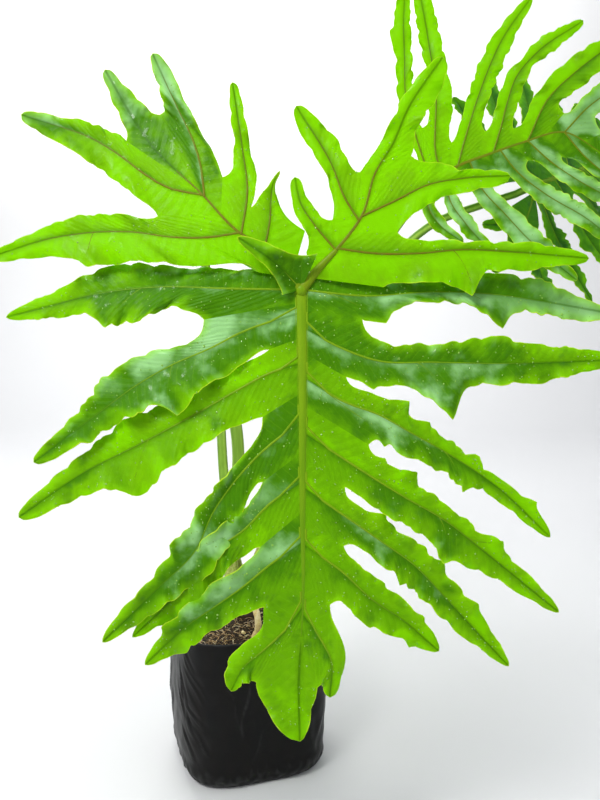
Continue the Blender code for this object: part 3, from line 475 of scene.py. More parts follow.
def frontMidrib():
    # the lower part of the front blade: seven lobes a side and the tip
    right = side((16, 20), (
        lobe(0, ((0, 0), (53, -5), (105, -2), (157, -4), (191, -9), (252, -20)),
             (16, 15, 10, 16, 17, 8), (21, 8, 8, 13, 10, 11), (49, -24), 12, -6,
             (("far", 0.575, 14, 0.7), ("far", 0.095, 8, 0.4), ("near", 0.76, 3, 0.3))),
        lobe(29, ((4, -29), (35, -48), (62, -57), (105, -58), (157, -59), (254, -56)),
             (18, 14, 15, 22, 14, 10), (19, 19, 18, 17, 16, 9), (36, -70), 8, 3,
             (("far", 0.385, 27), ("far", 0.10, 4, 0.3), ("near", 0.6, 3, 0.3))),
        lobe(70, ((4, -70), (35, -90), (62, -100), (87, -114), (122, -134), (157, -158), (199, -198)),
             (12, 14, 11, 8, 6, 9), (14, 19, 16, 12, 8, 6), (54, -124), 8, 0,
             (("near", 0.24, 8, 0.4), ("near", 0.35, 4, 0.3), ("near", 0.58, 4, 0.4),
              ("near", 0.86, 4, 0.4), ("far", 0.55, 8, 0.6), ("far", 0.085, 6, 0.5))),
        lobe(113, ((4, -113), (26, -130), (49, -145), (81, -165), (114, -184), (146, -209), (206, -258)),
             (14, 16, 12, 10, 9, 7), (17, 20, 19, 22, 12, 7), (35, -158), 8, 0,
             (("near", 0.225, 7, 0.5), ("near", 0.655, 8, 0.5), ("near", 0.09, 4, 0.25),
              ("far", 0.52, 6, 0.8))),
        lobe(158, ((3, -158), (32, -179), (65, -202), (90, -220), (114, -245), (138, -271), (166, -301)),
             (10, 15, 16, 14, 13, 8), (12, 15, 16, 14, 12, 7), (34, -205), 7, 0,
             (("near", 0.2, 4, 0.4), ("near", 0.5, 3, 0.4), ("near", 0.72, 3, 0.4), ("far", 0.35, 4, 0.4))),
        lobe(204, ((2, -204), (32, -225), (57, -248), (81, -264), (110, -289)),
             (10, 14, 15, 12, 8), (14, 18, 18, 14, 8), (23, -252), 6, 0,
             (("near", 0.4, 3, 0.5), ("near", 0.75, 4, 0.5), ("far", 0.4, 3, 0.4), ("far", 0.8, 4, 0.5))),
        lobe(259, ((1, -259), (14, -277), (24, -297), (23, -326)),
             (6, 8, 9, 8, 6), (9, 9, 8, 7, 5), (13, -318), 4, -3),
    ), (14, 13, 10, 8, 5))
    left = side((-16, 14), (
        lobe(0, ((0, 0), (-62, 1), (-116, 2), (-161, -3), (-205, -14), (-236, -22)),
             (15, 16, 15, 21, 12, 8), (20, 16, 26, 18, 12, 8), (-78, -24), 10, -3,
             (("near", 0.7, 4), ("far", 0.555, 11, 1.2))),
        lobe(18, ((1, -18), (-48, -34), (-71, -46), (-105, -61), (-134, -78), (-161, -98), (-214, -138)),
             (12, 11, 19, 21, 11, 7), (19, 25, 27, 20, 14, 9), (-26, -48), 11, 8,
             (("far", 0.43, 14, 0.85), ("far", 0.78, 3, 0.4)), True),
        lobe(57, ((1, -57), (-26, -67), (-54, -82), (-82, -98), (-134, -126), (-170, -144), (-226, -182)),
             (14, 17, 19, 23, 13, 8), (27, 23, 26, 30, 18, 11), (-31, -102), 9, -2,
             (("far", 0.585, 10, 0.9),), True),
        lobe(104, ((1, -104), (-33, -131), (-54, -154), (-70, -177), (-85, -209), (-115, -239),
                   (-159, -282)),
             (10, 7, 11, 17, 9, 8), (13, 20, 22, 19, 14, 8), (-31, -154), -8, 8,
             (("near", 0.57, 4, 0.4),)),
        lobe(153, ((1, -153), (-24, -170), (-46, -192), (-70, -209), (-100, -244), (-135, -278)),
             (11, 14, 12, 10, 9, 6), (13, 17, 22, 22, 14, 7), (-33, -206), -9, -4),
        lobe(202, ((0, -202), (-24, -219), (-46, -237), (-70, -254), (-93, -270), (-125, -300)),
             (12, 14, 16, 14, 11, 6), (20, 18, 16, 15, 16, 7), (-30, -254), -9, 0,
             (("near", 0.76, 3, 0.4),)),
        lobe(254, ((0, -254), (-11, -270), (-31, -289), (-46, -302), (-56, -321)),
             (13, 12, 12, 13, 9), (10, 13, 11, 7, 4), (-36, -314), 5, 3),
    ), (34, 31, 26, 20, 13))
    spine = ((0, 0), (1, -65), (1, -170), (1, -260), (0, -277), (-2, -314), (-1, -361))
    tones = dict(
        right=((1.0, 1.3, 3.3), (1.3, 1.2, -0.6), (0.1, 1.1, -0.8), (0.0, 0.4, -0.6), (0.1, 0.6, -0.5),
               (0.3, 0.2, -0.6), (0.2, 0.0), (0.1, -0.1, -0.4)),
        left=((1.0, 0.8, -0.9), (2.1, 0.9, 0.8), (-0.3, -0.3, 0.0), (1.5, 1.1, 0.1), (2.2, 0.0, -0.8),
              (2.2, 0.5, -0.6), (0.4, 0.1, -0.4), (0.2, 0.0, -0.4)),
    )
    return rib(spine, 0, 281, (9.6, 1.6), dict(right=right, left=left), tones=tones, bay=-0.6)


def frontRightBase():
    # the upper right part of the front blade, brightened with painted light coming through
    outer = side((66, 2), (
        lobe(44, ((30, 34), (58, 29), (93, 29), (129, 32), (171, 30), (230, 25)),
             (24, 25, 24, 16, 14, 7), (14, 11, 7, 7, 9, 6), (77, 46), -4, 4,
             (("near", 0.44, 17),)),
        lobe(76, ((49, 60), (75, 71), (102, 84), (129, 89), (167, 91)),
             (20, 18, 14, 11, 8), (20, 16, 9, 6, 5), (88, 107), -4, 0),
    ), (19, 14, 15, 16, 11))
    inner = side((4, 30), (
        lobe(42, ((29, 33), (9, 54), (0, 68), (-5, 90)),
             (8, 9, 7, 5), (8, 9, 7, 5), (25, 56), 6, 0),
        lobe(72, ((47, 56), (34, 75), (26, 96), (-4, 147)),
             (10, 9, 8, 10, 7), (16, 14, 14, 11, 7), (47, 94), 6, 0),
    ), (11, 12, 8, 8, 6))
    spine = ((0, 0), (13, 16), (30, 34), (49, 60), (59, 93), (74, 118), (84, 142), (113, 186))
    tones = dict(
        outer=((-0.6, -0.4, -1.0), (-1.1, -0.9), (-1.1, -1.0)),
        inner=((-0.6, -0.7), (-1.0, -0.8), (-1.2, -1.2)),
    )
    return rib(spine, 12, 92, (4.2, 1.4), dict(outer=outer, inner=inner), 6.0, tones,
               warm=0.8, edge=0.55, web=-0.8, blunt=True, wet=0.35)


def frontLeftBase():
    # the upper left part of the front blade, brightened with painted light coming through, its tips with
    # painted sheen
    outer = side((-34, 14), (
        lobe(68, ((-50, 46), (-73, 42), (-103, 42), (-134, 46), (-164, 46), (-195, 42), (-249, 26)),
             (19, 20, 24, 25, 17, 9), (17, 13, 14, 14, 9, 6), (-115, 59), -3, 2,
             (("near", 0.62, 6),)),
        lobe(111, ((-82, 79), (-108, 82), (-126, 93), (-149, 110), (-172, 123), (-195, 131), (-224, 140)),
             (18, 20, 19, 15, 8), (17, 12, 11, 8, 6), (-140, 119), -3, 0),
    ), (10, 10, 9, 7, 5))
    inner = side((3, 47), (
        lobe(44, ((-28, 32), (-25, 56), (-24, 74), (-22, 86), (-17, 95)),
             (11, 8, 3, 1.5), (13, 10, 4, 1.5), (-40, 66), 5, 0),
        lobe(66, ((-48, 44), (-43, 79), (-47, 112), (-51, 140), (-55, 166)),
             (7, 9, 7, 6, 5), (13, 9, 6, 6, 4), (-63, 90), 9, 0),
        lobe(109, ((-82, 77), (-81, 102), (-86, 118), (-98, 143), (-119, 189)),
             (13, 10, 9, 9, 7), (11, 9, 7, 5), (-113, 140), 5, 0),
    ), (15, 15, 12, 8, 5))
    spine = (
        (0, 0), (-28, 32), (-50, 46), (-82, 79), (-103, 98), (-118, 113), (-130, 130), (-157, 176)
    )
    tones = dict(
        outer=((-0.8, -0.6, -0.8), (-0.8, -0.6, 1.8), (0.8, 0.2, 3.4)),
        inner=((-0.6, -0.7), (-0.9, -1.0), (0.4, 0.8, 3.4), (0.8, 0.8, 3.4)),
    )
    return rib(spine, 12, 126, (4.2, 1.4), dict(outer=outer, inner=inner), 4.0, tones,
               warm=0.8, edge=0.45, web=-0.7, blunt=True, wet=0.35)


def frontCurl():
    # the small lobe that curls forward over the left base, darkened with painted shade
    upper = side((13, 29), (), (18, 13, 9, 5))
    lower = side((-15, -4), (), (12, 9, 6, 4))
    spine = ((0, 0), (-12, 13), (-24, 24), (-37, 33), (-51, 42))
    tones = dict(upper=((1.2, 0.9),), lower=((1.4, 1.2),))
    return rib(spine, 0, 10, (2.6, 1.2), dict(upper=upper, lower=lower), 22.0, tones, edge=0.4, wet=0.3)


def frontLeaf():
    # the large leaf that faces the viewer
    ribs = [frontMidrib(), frontRightBase(), frontLeftBase(), frontCurl()]
    return dict(ribs=ribs, droop=(0.00040, 0.00012, 0.00055), focus=(-1, -88, 640), ruffle=3.6, drops=30)


def rightLeaf():
    # the leaf behind on the right. Its upper lobes stand, and its lower ones reach forward
    upper = side((-14, 20), (
        lobe(0, ((0, 0), (-14, 40), (-28, 90), (-30, 140), (-31, 176), (-29, 214)),
             (7, 9, 9, 10, 10), (10, 10, 9, 8, 7), (-10, 60), 5, 0, (("near", 0.75, 5),)),
        lobe(14, ((10, 6), (4, 34), (4, 60), (5, 90), (-3, 152), (-14, 214)),
             (8, 10, 8, 10, 9), (16, 19, 16, 14, 12), (22, 44), 5, 0),
        lobe(33, ((29, 21), (39, 55), (50, 90), (64, 128), (77, 156), (110, 204)),
             (12, 11, 12, 11, 7), (14, 12, 13, 12, 7), (59, 56), 6, 0),
        lobe(75, ((67, 34), (77, 63), (84, 90), (94, 117), (114, 141), (167, 178)),
             (13, 12, 11, 8, 10, 7), (12, 13, 12, 8, 11, 7), (90, 59), 8, 0),
        lobe(116, ((105, 46), (130, 94), (157, 120), (185, 142), (230, 172)),
             (12, 14, 16, 14, 8), (13, 17, 17, 14, 8), (146, 76), 6, 0),
        lobe(157, ((146, 55), (174, 84), (202, 103), (250, 124)),
             (10, 14, 14, 8), (11, 15, 13, 8), (188, 54), 6, 0),
        lobe(205, ((190, 30), (222, 48), (246, 58), (282, 62)),
             (10, 12, 11, 7), (10, 12, 10, 6), (226, 26), 5, 0),
    ), (15, 15, 13, 9, 5))
    lower = side((-12, -10), (
        lobe(0, ((0, 0), (-4, -26), (8, -46), (35, -66)),
             (7, 9, 8, 5), (8, 9, 8, 5), (14, -16), 5, 10),
        lobe(20, ((17, 10), (20, -19), (38, -46), (70, -80)),
             (8, 9, 9, 6), (9, 11, 9, 6), (34, 2), 5, 20),
        lobe(48, ((42, 26), (56, -8), (79, -33), (104, -60), (160, -108)),
             (11, 13, 14, 15, 8), (10, 12, 14, 15, 8), (76, 8), 5, 30),
        lobe(84, ((76, 34), (92, 14), (127, -14), (168, -38), (216, -76)),
             (9, 12, 13, 12, 7), (9, 11, 12, 11, 7), (106, 24), 5, 34),
        lobe(116, ((105, 46), (132, 22), (160, 3), (190, -14), (232, -44)),
             (9, 11, 12, 10, 6), (9, 11, 11, 10, 6), (143, 28), 5, 30),
        lobe(157, ((146, 55), (168, 29), (198, 5), (244, -18)),
             (9, 9, 9, 6), (9, 8, 9, 6), (200, 17), 5, 24),
    ), (15, 14, 12, 9, 5))
    spine = ((0, 0), (27, 17), (66, 32), (101, 44), (146, 55), (185, 34), (224, 12), (262, -10), (292, -34))
    tones = dict(
        upper=((-1.2, -1.2), (-1.2, -0.9), (-1.1, -0.6), (-0.9, -0.2), (-0.5, 0.3, -0.9), (2.4, 2.8, 2.8),
               (1.6, 2.0), (1.2, 1.2)),
        lower=((1.4, 1.6), (1.6, 2.0, 1.6), (1.8, 2.2, 2.0), (1.9, 2.2, 1.8), (1.6, 2.0, 1.6), (1.4, 1.8),
               (1.2, 1.2)),
    )
    shaft = rib(spine, 0, 228, (4.6, 1.6), dict(upper=upper, lower=lower), tones=tones, warm=0.6, edge=0.7,
                web=0.1, blunt=True)
    return dict(ribs=[shaft], droop=(0.0, 0.0, 0.00025), focus=(-145, -240, 880), ruffle=3.5, drops=6)


def scaled(points, size, sign):
    # points given as shares of a leaf's size, on its right (1) or left (-1) side
    return tuple((sign * size * x, size * y) for x, y in points)


def plainHalf(size, lobes, sign, draw):
    # one side of a plain leaf: its lobes shorten and lean towards the tip
    blade = leafMesh["plainBlade"] * size
    starts = [0.80 * blade * (i / lobes) ** 0.92 for i in range(lobes)] + [0.84 * blade]
    made = []
    for i, (start, after) in enumerate(zip(starts, starts[1:])):
        reach = size * (0.50 - 0.30 * i / lobes) * draw.uniform(0.94, 1.05)
        lean = math.radians(6 + 44 * i / lobes)
        out = Vector((sign * math.cos(lean), -math.sin(lean)))
        vein = []
        for t in (0, 0.3, 0.65, 1):
            rise = 0.07 * reach * math.sin(math.pi * t)
            vein.append((reach * t * out.x, reach * t * out.y - start + rise))
        wide = size * 0.036 * draw.uniform(0.9, 1.15)
        shape = (0.9 * wide, wide, wide * draw.uniform(1.0, 1.25), 0.7 * wide)
        notch = (size * 0.085 * out.x, size * 0.06 * out.y - (start + after) / 2)
        teeth = (("far", 0.5, 0.35 * wide),)
        made.append(lobe(start, vein, shape, shape, notch, 7.0, 0.0, teeth))
    end = size * 0.05
    first = (sign * size * 0.04, size * 0.03)
    return side(first, tuple(made), (end, end * 1.1, end * 0.8, end * 0.4))


def plainBase(size, sign):
    # one base rib of a plain leaf, with a lobe on each side of it

    def half(first, vein, near, far, gap, tip):
        first, vein, gap = (scaled(points, size, sign) for points in ((first,), vein, (gap,)))
        near, far, tip = ([size * share for share in shares] for shares in (near, far, tip))
        return side(first[0], (lobe(size * 0.17, vein, near, far, gap[0], 5.0),), tip)

    outer = half(
        (0.15, 0.08), ((0.115, 0.13), (0.26, 0.15), (0.42, 0.17)),
        (0.042, 0.05, 0.03), (0.04, 0.045, 0.025), (0.24, 0.195), (0.04, 0.045, 0.025),
    )
    inner = half(
        (0.045, 0.16), ((0.115, 0.13), (0.10, 0.22), (0.07, 0.32)),
        (0.03, 0.03, 0.018), (0.03, 0.03, 0.018), (0.135, 0.235), (0.035, 0.035, 0.02),
    )
    spine = scaled(((0, 0), (0.09, 0.10), (0.17, 0.20), (0.24, 0.36)), size, sign)
    sides = dict(outer=outer, inner=inner)
    return rib(spine, size * 0.035, size * 0.25, (4.2, 1.9), sides, 3.0)


def plainLeaf(size, lobes, seed):
    # a leaf by rule, for those that the front leaf hides: a midrib and two base ribs
    draw = random.Random(seed)
    blade = leafMesh["plainBlade"] * size
    spine = ((0, 0), (0, -0.3 * blade), (0, -0.7 * blade), (0, -blade))
    sides = {way: plainHalf(size, lobes, sign, draw) for way, sign in (("right", 1), ("left", -1))}
    ribs = [
        rib(spine, 0, 0.84 * blade, (6.0, 2.0), sides),
        plainBase(size, 1),
        plainBase(size, -1),
    ]
    return dict(ribs=ribs, droop=(0.0005, 0.0006, 0.0006), focus=None, ruffle=3.0)


# From a pattern to a blade


# where a lobe's tip starts to round off, and the two powers of its oval
tipShapes = {"pointed": (0.82, 1.9, 0.66), "blunt": (0.85, 2.0, 0.5)}
# shares of a lobe's length over which a tooth rises and falls, and how sharply
toothShape = {"rise": (0.18, 1.1), "fall": (0.075, 2.4), "branchFrom": 6}


def halfWidth(values, t, blunt):
    wide = float(np.interp(t, np.linspace(0.0, 0.88, len(values)), values))
    start, power, root = tipShapes["blunt" if blunt else "pointed"]
    return wide * max(0.0, 1.0 - max(0.0, (t - start) / (1 - start)) ** power) ** root


def hump(turns):
    # a slow rise and a steep end, once a turn
    part = turns - math.floor(turns)
    return math.sin(math.pi * part**1.6) ** 0.75


def edgeWave(along, phase):
    # humps of uneven length and height, with sharp notches between them
    uneven = along + 5.0 * math.sin(along / 15.0 + 1.7 * phase) + 1.6 * math.sin(along / 6.3 + 2.9 * phase)
    big = 2.4 * hump(uneven / leafMesh["scallop"] + phase) - 1.5
    small = 1.7 * hump(uneven / leafMesh["smallScallop"] + 2 * phase) - 1.1
    return big + small * (0.4 + 0.6 * math.sin(along / 21.0 + 4 * phase))


def toothHeight(teeth, which, t):
    total = 0.0
    for where, place, height, *narrowing in teeth:
        if where == which:
            past = (t - place) / (narrowing[0] if narrowing else 1.0)
            reach, power = toothShape["rise" if past < 0 else "fall"]
            total += height * max(0.0, 1 - abs(past) / reach) ** power
    return total


def onBlade(leaf, point, height):
    # a point of the pattern, height towards the viewer, after the blade's own droop
    x, y = float(point[0]), float(point[1])
    wide, down, up = leaf["droop"]
    height -= wide * x * x + (down * y * y if y < 0 else up * y * y)
    if leaf["focus"]:
        fx, fy, distance = leaf["focus"]
        share = height / distance
        x, y = x - share * (x - fx), y - share * (y - fy)
    return x, y, height


def shaftRise(shaft, flat):
    return shaft["lift"] * min(1.0, math.hypot(*flat) / leafMesh["riseLength"])


def splitOf(piece, notches):
    # where along its vein a lobe leaves the web, from the notches beside it
    fine = spline(piece["vein"], np.linspace(0, 1, 80))
    nearest = [int(np.argmin(np.linalg.norm(fine - np.array(n), axis=1))) / 79 for n in notches]
    return min(0.65, max(0.10, sum(nearest) / len(nearest)))


def halfOutline(shaft, piece, which, webFrom, notch):
    # shares of a lobe's length, and there the points on its vein and on its outline. The outline follows the
    # web to the notch first, and runs on from there to the tip
    vein, split, webColumns = piece["vein"], piece["split"], leafMesh["webColumns"]
    long = lengthOf(vein)
    free = long * (1 - split)
    fewest, most = leafMesh["columnRange"]
    freeColumns = int(min(most, max(fewest, round(free / leafMesh["column"]))))
    steps = np.linspace(0, 1, freeColumns + 1)[1:]
    fractions = np.concatenate([np.linspace(0, split, webColumns + 1), split + (1 - split) * steps])
    inner = spline(vein, fractions)
    after, behind = (spline(vein, np.clip(fractions + step, 0.0, 1.0)) for step in (0.01, -0.01))
    ahead = unitRows(after - behind)
    normal = np.stack([-ahead[:, 1], ahead[:, 0]], axis=1)
    gap = notch - inner[webColumns]
    aside, before = float(np.dot(normal[webColumns], gap)), float(np.dot(ahead[webColumns], gap))
    young = min(1.0, long / leafMesh["fullLength"])
    outer = [webFrom + (notch - webFrom) * k / webColumns for k in range(webColumns + 1)]
    for at, t in enumerate(steps, webColumns + 1):
        wide = halfWidth(piece[which], t, shaft["blunt"] or piece["blunt"])
        wide += toothHeight(piece["teeth"], which, t)
        scallop = leafMesh["scallopDepth"] * shaft["edge"] * young
        wide += scallop * edgeWave(long * fractions[at], piece["phase"]) * math.sin(math.pi * t)
        # the notch is round: the lobe narrows at once, then widens again
        past = t * free
        wide -= shaft["bay"] * young * math.exp(-past / leafMesh["bayReach"])
        reached, whole = (1 - math.exp(-far / leafMesh["notchRound"]) for far in (past, free))
        blend = reached / whole
        wide = abs(aside) * (1 - blend) + max(wide, 0.0) * blend
        step = normal[at] * math.copysign(wide, aside) + ahead[at] * before * (1 - t) ** 1.5
        outer.append(inner[at] + step)
    return fractions, inner, np.array(outer)


def halfLobe(leaf, shaft, piece, which, stations, indices, notch, tones):
    # points and maps of one half lobe: columns along the vein, rows from the vein to the edge
    start, webIndex = indices
    across = abs(start - webIndex) or 8
    notch = np.array(notch, float)
    fractions, inner, outer = halfOutline(shaft, piece, which, stations[webIndex], notch)
    long, split, webColumns = lengthOf(piece["vein"]), piece["split"], leafMesh["webColumns"]
    sign, under = (1.0, shaft["under"]) if which == "far" else (-1.0, -0.4 * shaft["under"])
    slope, fold = (math.tan(math.radians(angle)) for angle in (piece["twist"], leafMesh["fold"]))
    phase = piece["phase"]
    near, last = tones
    points = np.zeros((len(inner), across + 1, 3))
    veinMap, edgeMap = (np.zeros((len(inner), across + 1, 2)) for _ in range(2))
    for k in range(len(inner)):
        wide = float(np.linalg.norm(outer[k] - inner[k]))
        grown = min(1.0, wide / leafMesh["fullWidth"])
        free = max(0.0, (fractions[k] - split) / (1 - split))
        fade = min(1.0, free * 4.5)
        along = long * fractions[k]
        # ruffles along the edge, a rolled rim and fine crimps. Each ruffle's tone gets painted shade on one
        # side and painted light on the other
        turn = 2 * math.pi * along / leafMesh["ruffleWave"]
        wave = math.sin(turn + phase + sign) + 0.55 * math.sin(2.3 * turn + 2.1 * phase - sign)
        ruffle = leaf["ruffle"] * grown * wave
        roll = leafMesh["edgeRoll"] * grown * (0.6 + 0.4 * math.sin(turn * 0.6 + 3 * phase))
        crimp = leafMesh["crimp"] * grown * math.sin(5.3 * turn + 3 * phase)
        # swell: the ruffles' painted light and shade, added to the tone
        swell = grown * (0.6 * math.cos(turn + phase + sign) + 0.35 * math.cos(2.3 * turn - phase))
        webDistance = float(np.linalg.norm(outer[k] - notch)) if k < webColumns else 0.0
        towards = min(1.0, max(0.0, (fractions[k] - 0.45) / 0.5)) ** 1.4
        tone = near * (1 - towards) + last * towards
        for j in range(across + 1):
            b = j / across
            if k == 0 and start != webIndex:
                flat, height = stations[start + j * (1 if webIndex > start else -1)], 0.0
            else:
                flat = inner[k] * (1 - b) + outer[k] * b
                height = (sign * slope + fold) * wide * b + ruffle * b**2 + crimp * b**4 - roll * b**5
                height += leafMesh["puff"] * math.sin(math.pi * b)
                height = fade * height + piece["lift"] * free**1.5
            points[k, j] = onBlade(leaf, flat, height + shaftRise(shaft, flat))
            veinMap[k, j] = (along, wide * b if k else j * leafMesh["station"])
            webShare = b * max(0.0, 1 - k / webColumns)
            # painted shade below the vein is added to the tone
            shade = tone * (1 - webShare) + shaft["web"] * webShare + under * (1 - b) ** 2
            edgeMap[k, j] = (math.hypot(wide * (1 - b), webDistance), shade + fade * b * swell)
    return points, {"vein": veinMap, "edge": edgeMap}


def bladeSheet(leaf, shaft, seed):
    # one rib's sheet, its rib and its veins, in millimetres
    draw = random.Random(seed)
    long = lengthOf(shaft["points"])
    steps = max(12, round(long / leafMesh["station"]))
    stations = spline(shaft["points"], [i / steps for i in range(steps + 1)])

    def index(distance):
        return min(steps - 4, round(distance / long * steps))

    end = index(shaft["end"])
    sheet = bmesh.new()
    lines, spots = [], []
    halves = shaft["sides"].values()
    lastNotches = [half["lobes"][-1]["gap"] if half["lobes"] else half["first"] for half in halves]
    tail = [tuple(stations[i]) for i in range(end, steps + 1, 4)]
    if (steps - end) % 4:
        tail.append(tuple(stations[steps]))
    tip = dict(vein=tail, twist=2.0, lift=0.0, teeth=(), phase=0.0, blunt=False)
    tip["split"] = splitOf(tip, lastNotches)

    def add(piece, which, indices, notch, tones):
        points, maps = halfLobe(leaf, shaft, piece, which, stations, indices, notch, tones)
        gridPatch(sheet, points, maps)
        # drops: leaf["drops"] for every 60 columns, and more of them near the rib
        for _ in range(round(leaf.get("drops", 0) * shaft["wet"] * points.shape[0] / 60)):
            k = 2 + int((points.shape[0] - 10) * draw.random() ** 1.5)
            j = draw.randrange(0, points.shape[1] - 1)
            u, v = draw.random(), draw.random()
            spots.append(betweenPoints(points, k + u, j + v))
        return points

    for name, half in shaft["sides"].items():
        notch, before = half["first"], index(shaft["foot"])
        starts = [piece["start"] for piece in half["lobes"]] + [shaft["end"]]
        tones = shaft["tones"].get(name, ())
        for order, (piece, following) in enumerate(zip(half["lobes"], starts[1:])):
            start = index(piece["start"])
            after = (start + index(following) + 1) // 2 if index(following) > start else start
            near, far, *last = tones[order] if order < len(tones) else (0.25, 0.45)
            tipTone = last[0] if last else min(near, far) - 0.5
            piece = dict(piece, phase=draw.uniform(0, 6.28))
            piece["split"] = splitOf(piece, [notch, piece["gap"]])
            piece["vein"] = (tuple(stations[start]),) + tuple(piece["vein"][1:])
            grid = add(piece, "near", (start, before), notch, (near, tipTone))
            farGrid = add(piece, "far", (start, after), piece["gap"], (far, tipTone))
            lines.append((leavingLine(stations, start, grid[:, 0], shaft, leaf), "lobe"))
            for where, place, height, *_ in piece["teeth"]:
                if height >= toothShape["branchFrom"]:
                    lines.append((branchLine(grid if where == "near" else farGrid, place), "branch"))
            notch, before = piece["gap"], after
        ending = tones[len(half["lobes"])] if len(tones) > len(half["lobes"]) else (0.3, 0.3)
        add(dict(tip, near=half["tip"]), "near", (end, before), notch, (ending[0], ending[-1]))
    bmesh.ops.remove_doubles(sheet, verts=sheet.verts, dist=leafMesh["merge"])
    bmesh.ops.dissolve_degenerate(sheet, dist=0.01, edges=sheet.edges)
    bmesh.ops.recalc_face_normals(sheet, faces=sheet.faces)
    if sum(face.normal.z for face in sheet.faces) < 0:
        bmesh.ops.reverse_faces(sheet, faces=sheet.faces)
    spineLine = [onBlade(leaf, p, shaftRise(shaft, p)) for p in stations]
    return sheet, np.array(spineLine), lines, spots


def betweenPoints(grid, k, j):
    # a place between a grid's points, at column k and row j
    k0, j0 = int(k), int(j)
    k1, j1 = min(k0 + 1, len(grid) - 1), min(j0 + 1, grid.shape[1] - 1)
    low, high = (grid[k0, row] * (1 - k + k0) + grid[k1, row] * (k - k0) for row in (j0, j1))
    return low * (1 - j + j0) + high * (j - j0)


# sizes in mm. One drop in twelve or so is a bigger one
waterDrops = {
    "size": (0.4, 0.64), "bigger": 1.6, "biggerShare": 0.08, "width": (0.85, 1.2), "flat": 0.55,
    "raised": 0.4, "batch": 120,
}


def makeDrops(name, spots, frameMatrix):
    # small flattened drops of water where they stand on the blade
    draw = random.Random(5)
    parts = []
    for first in range(0, len(spots), waterDrops["batch"]):
        bm = bmesh.new()
        for spot in spots[first:first + waterDrops["batch"]]:
            size = draw.uniform(*waterDrops["size"])
            size *= waterDrops["bigger"] if draw.random() < waterDrops["biggerShare"] else 1.0
            width = size * draw.uniform(*waterDrops["width"])
            shape = Matrix.Diagonal((size, width, size * waterDrops["flat"], 1))
            place = Matrix.Translation(Vector(spot) + Vector((0, 0, waterDrops["raised"]))) @ shape
            bmesh.ops.create_uvsphere(bm, u_segments=8, v_segments=5, radius=1.0, matrix=place)
        smoothFaces(bm.faces)
        parts.append(makeObject(name, bm, [dropSkin]))
    made = joined(name, parts)
    made.data.transform(frameMatrix @ toMetres)
    finishPiece(made, None)


def leavingLine(stations, start, vein, shaft, leaf):
    # a vein runs along the rib's side for a few millimetres before it leaves it
    ahead = Vector(tuple(stations[start + 1] - stations[max(0, start - 1)])).normalized()
    beside = Vector((-ahead.y, ahead.x))
    out = Vector(tuple(vein[12][:2] - vein[0][:2]))
    beside *= math.copysign(1.0, beside.dot(out))
    share = start / len(stations)
    ribHalf = 0.46 * (shaft["width"][0] * (1 - share) + shaft["width"][1] * share)
    before = []
    for back in (6, 4, 2):
        flat = stations[max(0, start - back)] + np.array(tuple(beside)) * ribHalf
        before.append(onBlade(leaf, flat, shaftRise(shaft, flat)))
    first = int(np.argmax(np.linalg.norm(vein - vein[0], axis=1) > ribHalf * 1.9))
    return np.vstack([before, vein[max(first, 3):]]) if start > 6 and shaft["width"][0] > 5 else vein


def branchLine(grid, place):
    # a side vein that runs into a big tooth
    webColumns, rows = leafMesh["webColumns"], grid.shape[1] - 1
    free = len(grid) - 1 - webColumns
    path = []
    for s in np.linspace(0, 1, 9):
        k, j = webColumns + free * (place - 0.13 * (1 - s)), 0.86 * s**1.15 * rows
        path.append(betweenPoints(grid, k, j))
    return np.array(path)


# thin veins: the radius that they lose on their way, the share of their line that they take, the step
# between its points, and the fade from pale to dark
veinLooks = {
    "lobe": {"taper": 0.75, "taken": 0.97, "step": 2, "fade": (0.0, 0.7)},
    "branch": {"taper": 0.2, "taken": 1.0, "step": 1, "fade": (0.1, 0.4)},
}
# the ball that ribs and petiole meet in, and the collar from it to the petiole, in mm
knuckle = {
    "size": (5.0, 5.4, 4.3), "collarAt": (14.2, 9, 4, 0.5, -1.5), "collarRadii": (4.9, 4.9, 4.9, 4.8, 3.6),
}


def ribTubes(bm, shaft, spineLine, lines):
    # the rib, flattened and sunk a little into the sheet, and the thin veins of its lobes
    tube = partial(tubePatch, bm, up=(0, 0, 1))
    share = np.linspace(0, 1, len(spineLine))
    wide = np.linspace(*shaft["width"], len(spineLine)) * 0.54
    wide *= 1 - 0.6 * np.clip((share - 0.5) / 0.5, 0, 1)
    sunk = spineLine - np.array([0, 0, 0.22]) * wide[:, None]
    tube(sunk[::2], wide[::2], sides=14, flat=0.55, warmth=shaft["warm"], fade=(0.1, 0.55))
    if shaft["width"][0] > 5:
        # pale lines run along both sides of a thick rib
        ahead = np.gradient(spineLine, axis=0)
        beside = unitRows(np.stack([-ahead[:, 1], ahead[:, 0], 0 * ahead[:, 0]], axis=1))
        for reach in (-0.96, 0.96):
            line = spineLine + reach * beside * wide[:, None]
            tube(line[::2], (0.5 - 0.2 * share)[::2], sides=8, fade=(0, 0.1))
    for path, kind in lines:
        look = veinLooks[kind]
        path = path[:int(len(path) * look["taken"])]
        radii = look["taper"] * (1 - np.linspace(0, 1, len(path))) + 0.26
        path, radii = (rows[::look["step"]] for rows in (path + np.array([0, 0, 0.14]), radii))
        tube(path, radii, sides=7, flat=0.8, warmth=shaft["warm"], fade=look["fade"])
    if shaft["foot"] > 0:
        # a base rib thickens towards the knuckle
        start = np.vstack([[0, 0, 0], spineLine[2:max(4, int(len(spineLine) * 0.2))]])
        radii = np.linspace(1.1, 0.5, len(start)) * shaft["width"][0]
        tube(start, radii, sides=12, flat=0.75, warmth=shaft["warm"] * 0.35, fade=(0, 0.1))


